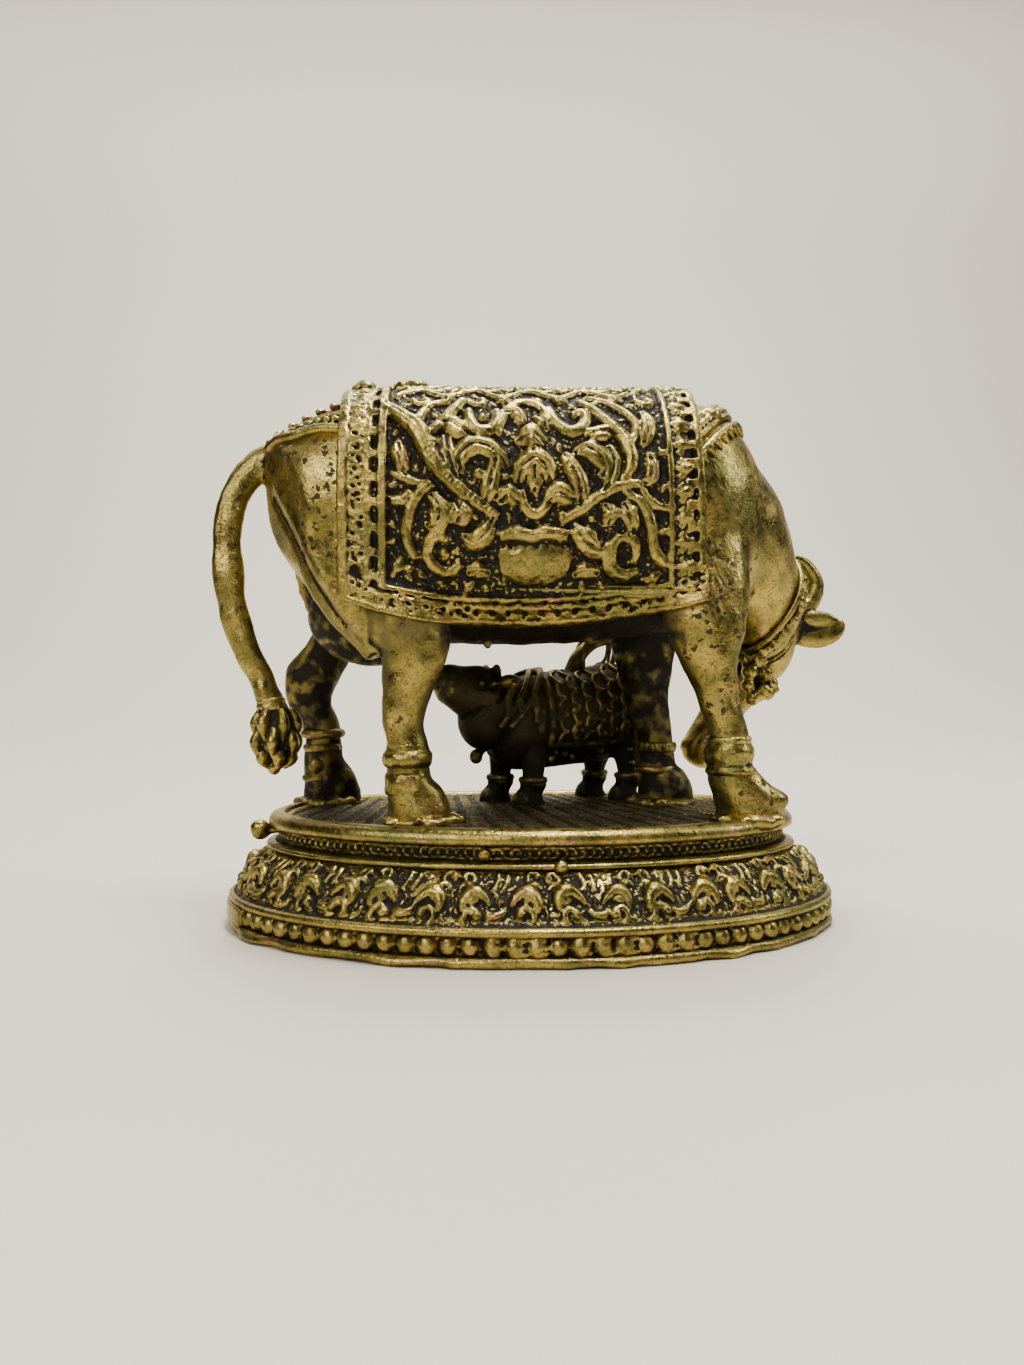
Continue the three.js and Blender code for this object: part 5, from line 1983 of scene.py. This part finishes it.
# %% Strokes of the frieze
# Points are across from the unit's middle, up the slope, and half the thickness.
LEAF = [
    (-2.95, 1.7, 0.15), (-2.5, 2.35, 0.42), (-1.85, 2.8, 0.66),
    (-1.2, 2.6, 0.7), (-0.85, 1.95, 0.5), (-0.8, 1.2, 0.15),
]
LEAF_HEART = [(-2.1, 2.2, 0.2), (-1.5, 2.1, 0.45), (-1.05, 1.7, 0.2)]
LEAF_TIP = [(-1.4, 3.2, 0.45), (-0.8, 3.6, 0.35), (-0.35, 3.2, 0.15)]
CURL = [
    (-1.4, 0.15, 0.18), (-1.2, 0.7, 0.26), (-1.4, 1.25, 0.32),
    (-1.95, 1.35, 0.3), (-2.2, 0.95, 0.48), (-1.95, 0.75, 0.4),
]
TIP_SCROLL = [(-1.35, 3.85, 0.2), (-1.2, 4.5, 0.26), (-0.6, 4.65, 0.26), (-0.4, 4.15, 0.42)]
BAR_PAIR = [
    [(3.05, 2.9, 0.16), (3.3, 3.8, 0.22), (3.2, 4.7, 0.2)],
    [(3.85, 2.9, 0.16), (4.1, 3.8, 0.22), (4.05, 4.6, 0.2)],
]
CRESCENT = [(3, 1.35, 0.15), (3.3, 0.95, 0.32), (3.75, 0.85, 0.42), (4.2, 1.05, 0.32), (4.5, 1.4, 0.15)]
KNOBS = [
    (3.75, 1.95, 0.42), (0, 0.95, 0.3), (-0.6, 0.45, 0.24), (0.65, 0.5, 0.22),
    (2.85, 0.5, 0.22), (3.4, 2.6, 0.2), (0, 2.1, 0.24), (4.45, 0.45, 0.2),
    (2.35, 4.25, 0.26), (-2.4, 4.3, 0.22), (0, 3.9, 0.18),
]
print(len(KNOBS), "knobs in a unit of the frieze")

# %% The frieze
SLOPE = [(0.7, 3.2), (1, 3.5), (1.5, 4.5), (2.4, 5.7), (3.7, 6.9)]
SLOPE_WIDE = 5.15
FRIEZE_UNITS = 19
GRAINS = 30
# A strip is made this much longer than the oval at both ends, and its slab reaches below the table.
SPARE = 2
slope_length = oval_lengths(np.mean([row[0] for row in SLOPE]))[1][-1]
unit_length = slope_length / FRIEZE_UNITS


def frieze_unit(shift, worn, lean):
    """The strokes of one unit, whose middle is at shift along the strip."""
    strokes = []
    for side in (-1, 1):
        for shape in (LEAF, LEAF_HEART, LEAF_TIP, CURL, TIP_SCROLL):
            level = 0.2 if shape is LEAF else 0.12
            over = shift + draws.uniform(-0.14, 0.14)
            up = draws.uniform(-0.12, 0.12)
            size = worn * draws.uniform(0.85, 1.12)
            stroke = []
            for x, y, thick in shape:
                stroke.append((over - side * x + lean * (y - 2.5), y + up, level, size * thick))
            strokes.append(stroke)
    for shape in (*BAR_PAIR, CRESCENT):
        strokes.append([(shift + x + 2 * lean * (y - 3), y, 0.1, worn * thick) for x, y, thick in shape])
    for x, y, thick in KNOBS:
        strokes.append([(shift + x + end, y, 0.12, worn * thick) for end in (-0.04, 0.04)])
    for _ in range(GRAINS):
        x, y, thick = draws.uniform(-3.9, 3.9), draws.uniform(0.15, 4.95), draws.uniform(0.1, 0.24)
        strokes.append([(shift + x + end, y, 0.06, thick) for end in (-0.04, 0.06)])
    return strokes


units = []
for i in range(FRIEZE_UNITS):
    units.append((draws.uniform(0.88, 1.1), draws.uniform(-0.2, 0.2)))
strokes = []
for i in range(-1, FRIEZE_UNITS + 1):
    worn, lean = units[i % FRIEZE_UNITS]
    strokes += frieze_unit((i + 0.5) * unit_length, worn, lean)
frieze_parts = [bars([(-SPARE, slope_length + SPARE, -0.1, SLOPE_WIDE, -0.6, 0)])]
frieze_parts.append(threads("frieze", strokes))
frieze, level = bent_strip("plinth_frieze", frieze_parts, SLOPE, slope_length, 0.155, 1, 0.35)
finish_piece(frieze, narrow=6, wide=20, base=eased(level, 0.35, -0.3))

# %% [markdown]
# ## The row of beads and the neck
# Round the foot runs a row of upright oval beads. Some of them ran together, and at the tail's end a
# stretch of the row is a plain smooth bar. So each bead is drawn on its own, with fills between those
# that are worn. The neck has finer beads between two rows of grains. Both are strips like the frieze.

# %% The row of beads
BEAD_INSET = 0.68
BEAD_BAND = [(BEAD_INSET, 0.85), (BEAD_INSET, 2.5)]
BEAD_HIGH = 1.65
BEADS_ROUND = 86
# Shares of the way round: where the beads give way to a bar, and where they are worn.
BAR_PART = (0.237, 0.302)
WORN_PART = (0.47, 0.58)
# One bead: heights up the band and half its thickness there.
BEAD_SHAPE = [(0.02, 0.4), (0.3, 0.72), (0.8, 0.88), (1.3, 0.72), (1.6, 0.4)]
bead_length = oval_lengths(BEAD_INSET)[1][-1]
bead_sizes = [draws.uniform(0.88, 1.05) for _ in range(BEADS_ROUND)]
strokes = []
fills = []
for i in range(-1, BEADS_ROUND + 1):
    size = bead_sizes[i % BEADS_ROUND]
    x = (i + 0.5) * (bead_length / BEADS_ROUND)
    share_round = x / bead_length
    if BAR_PART[0] < share_round < BAR_PART[1]:
        continue
    strokes.append([(x, up, -0.12, size * thick) for up, thick in BEAD_SHAPE])
    worn_here = WORN_PART[0] < share_round < WORN_PART[1] or i % 31 in (11, 12)
    if worn_here and i % 4 != 3:
        for up in (0.25, 0.8, 1.4):
            start, end = x - draws.uniform(0.2, 0.6), x + draws.uniform(0.5, 1.3)
            fills.append([(start, up, 0, 0.3), (x, up, 0.05, 0.5), (end, up, 0, 0.3)])
bar_start = (BAR_PART[0] - 0.002) * bead_length
bar_end = (BAR_PART[1] + 0.002) * bead_length
bead_parts = [bars([(-SPARE, bead_length + SPARE, 0, BEAD_HIGH, -0.5, 0)])]
bead_parts.append(bars([(bar_start, bar_end, 0, BEAD_HIGH, -0.1, 0.85)]))
bead_parts.append(threads("beads", strokes, 4))
bead_parts.append(threads("fills", fills))
beads, level = bent_strip("plinth_beads", bead_parts, BEAD_BAND, bead_length, 0.15, 1)
finish_piece(beads, narrow=5, wide=16, base=eased(level, 0.12, -0.2) - 0.1)

# %% The neck
NECK_INSET = 4.72
NECK_BAND = [(NECK_INSET, 7.75), (NECK_INSET, 8.9)]
NECK_HIGH = 1.15
NECK_BEADS = 164
neck_length = oval_lengths(NECK_INSET)[1][-1]
strokes = []
for i in range(NECK_BEADS):
    x = (i + 0.5) * neck_length / NECK_BEADS
    strokes.append([(x - 0.12, 0.55, -0.02, 0.2), (x, 0.56, 0, 0.32), (x + 0.12, 0.55, -0.02, 0.2)])
    for _ in range(2):
        u = x + draws.uniform(-0.35, 0.35)
        v = draws.choice((0.18, 0.95)) + draws.uniform(-0.06, 0.06)
        strokes.append([(u - 0.06, v, 0, 0.12), (u + 0.06, v, 0, 0.14)])
neck_parts = [bars([(-SPARE, neck_length + SPARE, 0, NECK_HIGH, -0.5, 0)])]
neck_parts.append(threads("neck beads", strokes))
neck_strip, level = bent_strip("plinth_neck", neck_parts, NECK_BAND, neck_length, 0.135, 0)
neck_base = 0.7 + np.clip((0.12 - level) / 0.12, 0, 0.5)
finish_piece(neck_strip, narrow=4, wide=12, deep=0.16, base=neck_base)

# %% [markdown]
# ## The combed top and the feet's pads
# Inside the rim the ground was combed: fanned rows of short strokes, which lean one way in one row and
# the other way in the next. Such a rule is simplest as sines on a grid, which is cut to an oval and
# closed below. Each hoof stands in a lumpy pad of metal that ran round it, and a few round beads of
# leaked metal sit below the rim, as they came from the mould.

# %% The combed top
TOP_INSET = 5.1
ROW_WIDE = 1.75
STROKE_PITCH = 0.66
SKIRT = 0.6


def comb_marks(x, y):
    """How far the strokes stand up at each place of the ground."""
    spread = 0.35 * (4 - y) / 19
    row = (x - 10 * spread) / (1 + spread) / ROW_WIDE
    share = row - np.floor(row)
    lean = np.where(np.floor(row) % 2, 1, -1)
    band = np.clip(1 - np.abs(2 * share - 1) ** 4, 0, 1)
    stroke = y / STROKE_PITCH + lean * 0.6 * share + 0.37 * np.floor(row)
    return 0.12 * band + 0.055 * np.sin(2 * math.pi * stroke) * band


def closed_below(sheet):
    """Draws the sheet's edge down into a skirt and closes it with one face."""
    opened(sheet, "EDGE")
    bpy.ops.mesh.select_non_manifold(extend=False, use_wire=False, use_multi_face=False)
    bpy.ops.mesh.extrude_edges_move(TRANSFORM_OT_translate={"value": (0, 0, -SKIRT)})
    bpy.ops.mesh.select_all(action="SELECT")
    bpy.ops.mesh.fill_holes(sides=0)
    bpy.ops.mesh.select_all(action="SELECT")
    bpy.ops.mesh.delete_loose(use_verts=True, use_edges=True, use_faces=False)
    bpy.ops.mesh.select_all(action="SELECT")
    bpy.ops.mesh.normals_make_consistent(inside=False)
    put_down()


put_down()
bpy.ops.mesh.primitive_grid_add(x_subdivisions=150, y_subdivisions=300, size=2, location=(0, 0, 0))
top = bpy.context.object
top.name = "plinth_top"
half = half_sizes(TOP_INSET)
bpy.ops.transform.resize(value=(*half, 1))
bpy.ops.object.transform_apply()
places = corners(top)
chosen(top, (places[:, 0] / half[0]) ** 2 + (places[:, 1] / half[1]) ** 2 > 1)
bpy.ops.mesh.delete(type="VERT")
put_down()
places = corners(top)
places[:, 2] = PLINTH_TOP - 0.16 + comb_marks(places[:, 0], places[:, 1])
move_corners(top, places)
closed_below(top)
ground_stain = np.full(len(top.data.vertices), 0.95)
finish_piece(top, narrow=2, wide=10, deep=0.09, base=ground_stain)

# %% Pads and beads of leaked metal
# Where each hoof stands, and half the width of its pad.
PADS = ((-10.1, -8.2, 3.7), (-20.3, 7, 3.4), (18.8, -8, 3.1), (13.8, 5.5, 3.3))
LEAKED = (((-25.4, -2.5, 8.7), 0.95), ((-4.9, -15.6, 8.3), 0.6), ((1.3, -16.4, 7.3), 0.65))
pads = []
for x, y, wide in PADS:
    pads.append(ball((x, y, 10), (wide, 2.9, 1.15)))
    for i in range(16):
        turn = draws.uniform(0, 2 * math.pi)
        place = (x + 0.92 * wide * math.cos(turn), y + 2.6 * math.sin(turn), 10.2)
        size = (draws.uniform(0.3, 0.9), draws.uniform(0.3, 0.7), draws.uniform(0.3, 0.7))
        pads.append(ball(place, size, fine=2))
pads.append(ball((-24.2, -2.5, 8.6), (1.2, 0.4, 0.4), fine=2))
pads += [bead(place, radius, fine=3) for place, radius in LEAKED]
hoof_pads = melted(joined("hoof_pads_and_casting_beads", pads), 0.22, 2)
roughened(hoof_pads, 0.8, 0.12)
# Painted shade: the pads on the far side get a mottled brown.
far_side = (corners(hoof_pads)[:, 1] > 0).astype(float)
pad_stain = np.full(len(far_side), 0.2)
finish_piece(hoof_pads, narrow=6, wide=20, base=pad_stain, painted_shade=0.9 * far_side)

# %% [markdown]
# ## Count of triangles
# Last the triangles of all the pieces are counted and printed.

# %% Count of triangles
print("all pieces", triangles_made, "triangles")
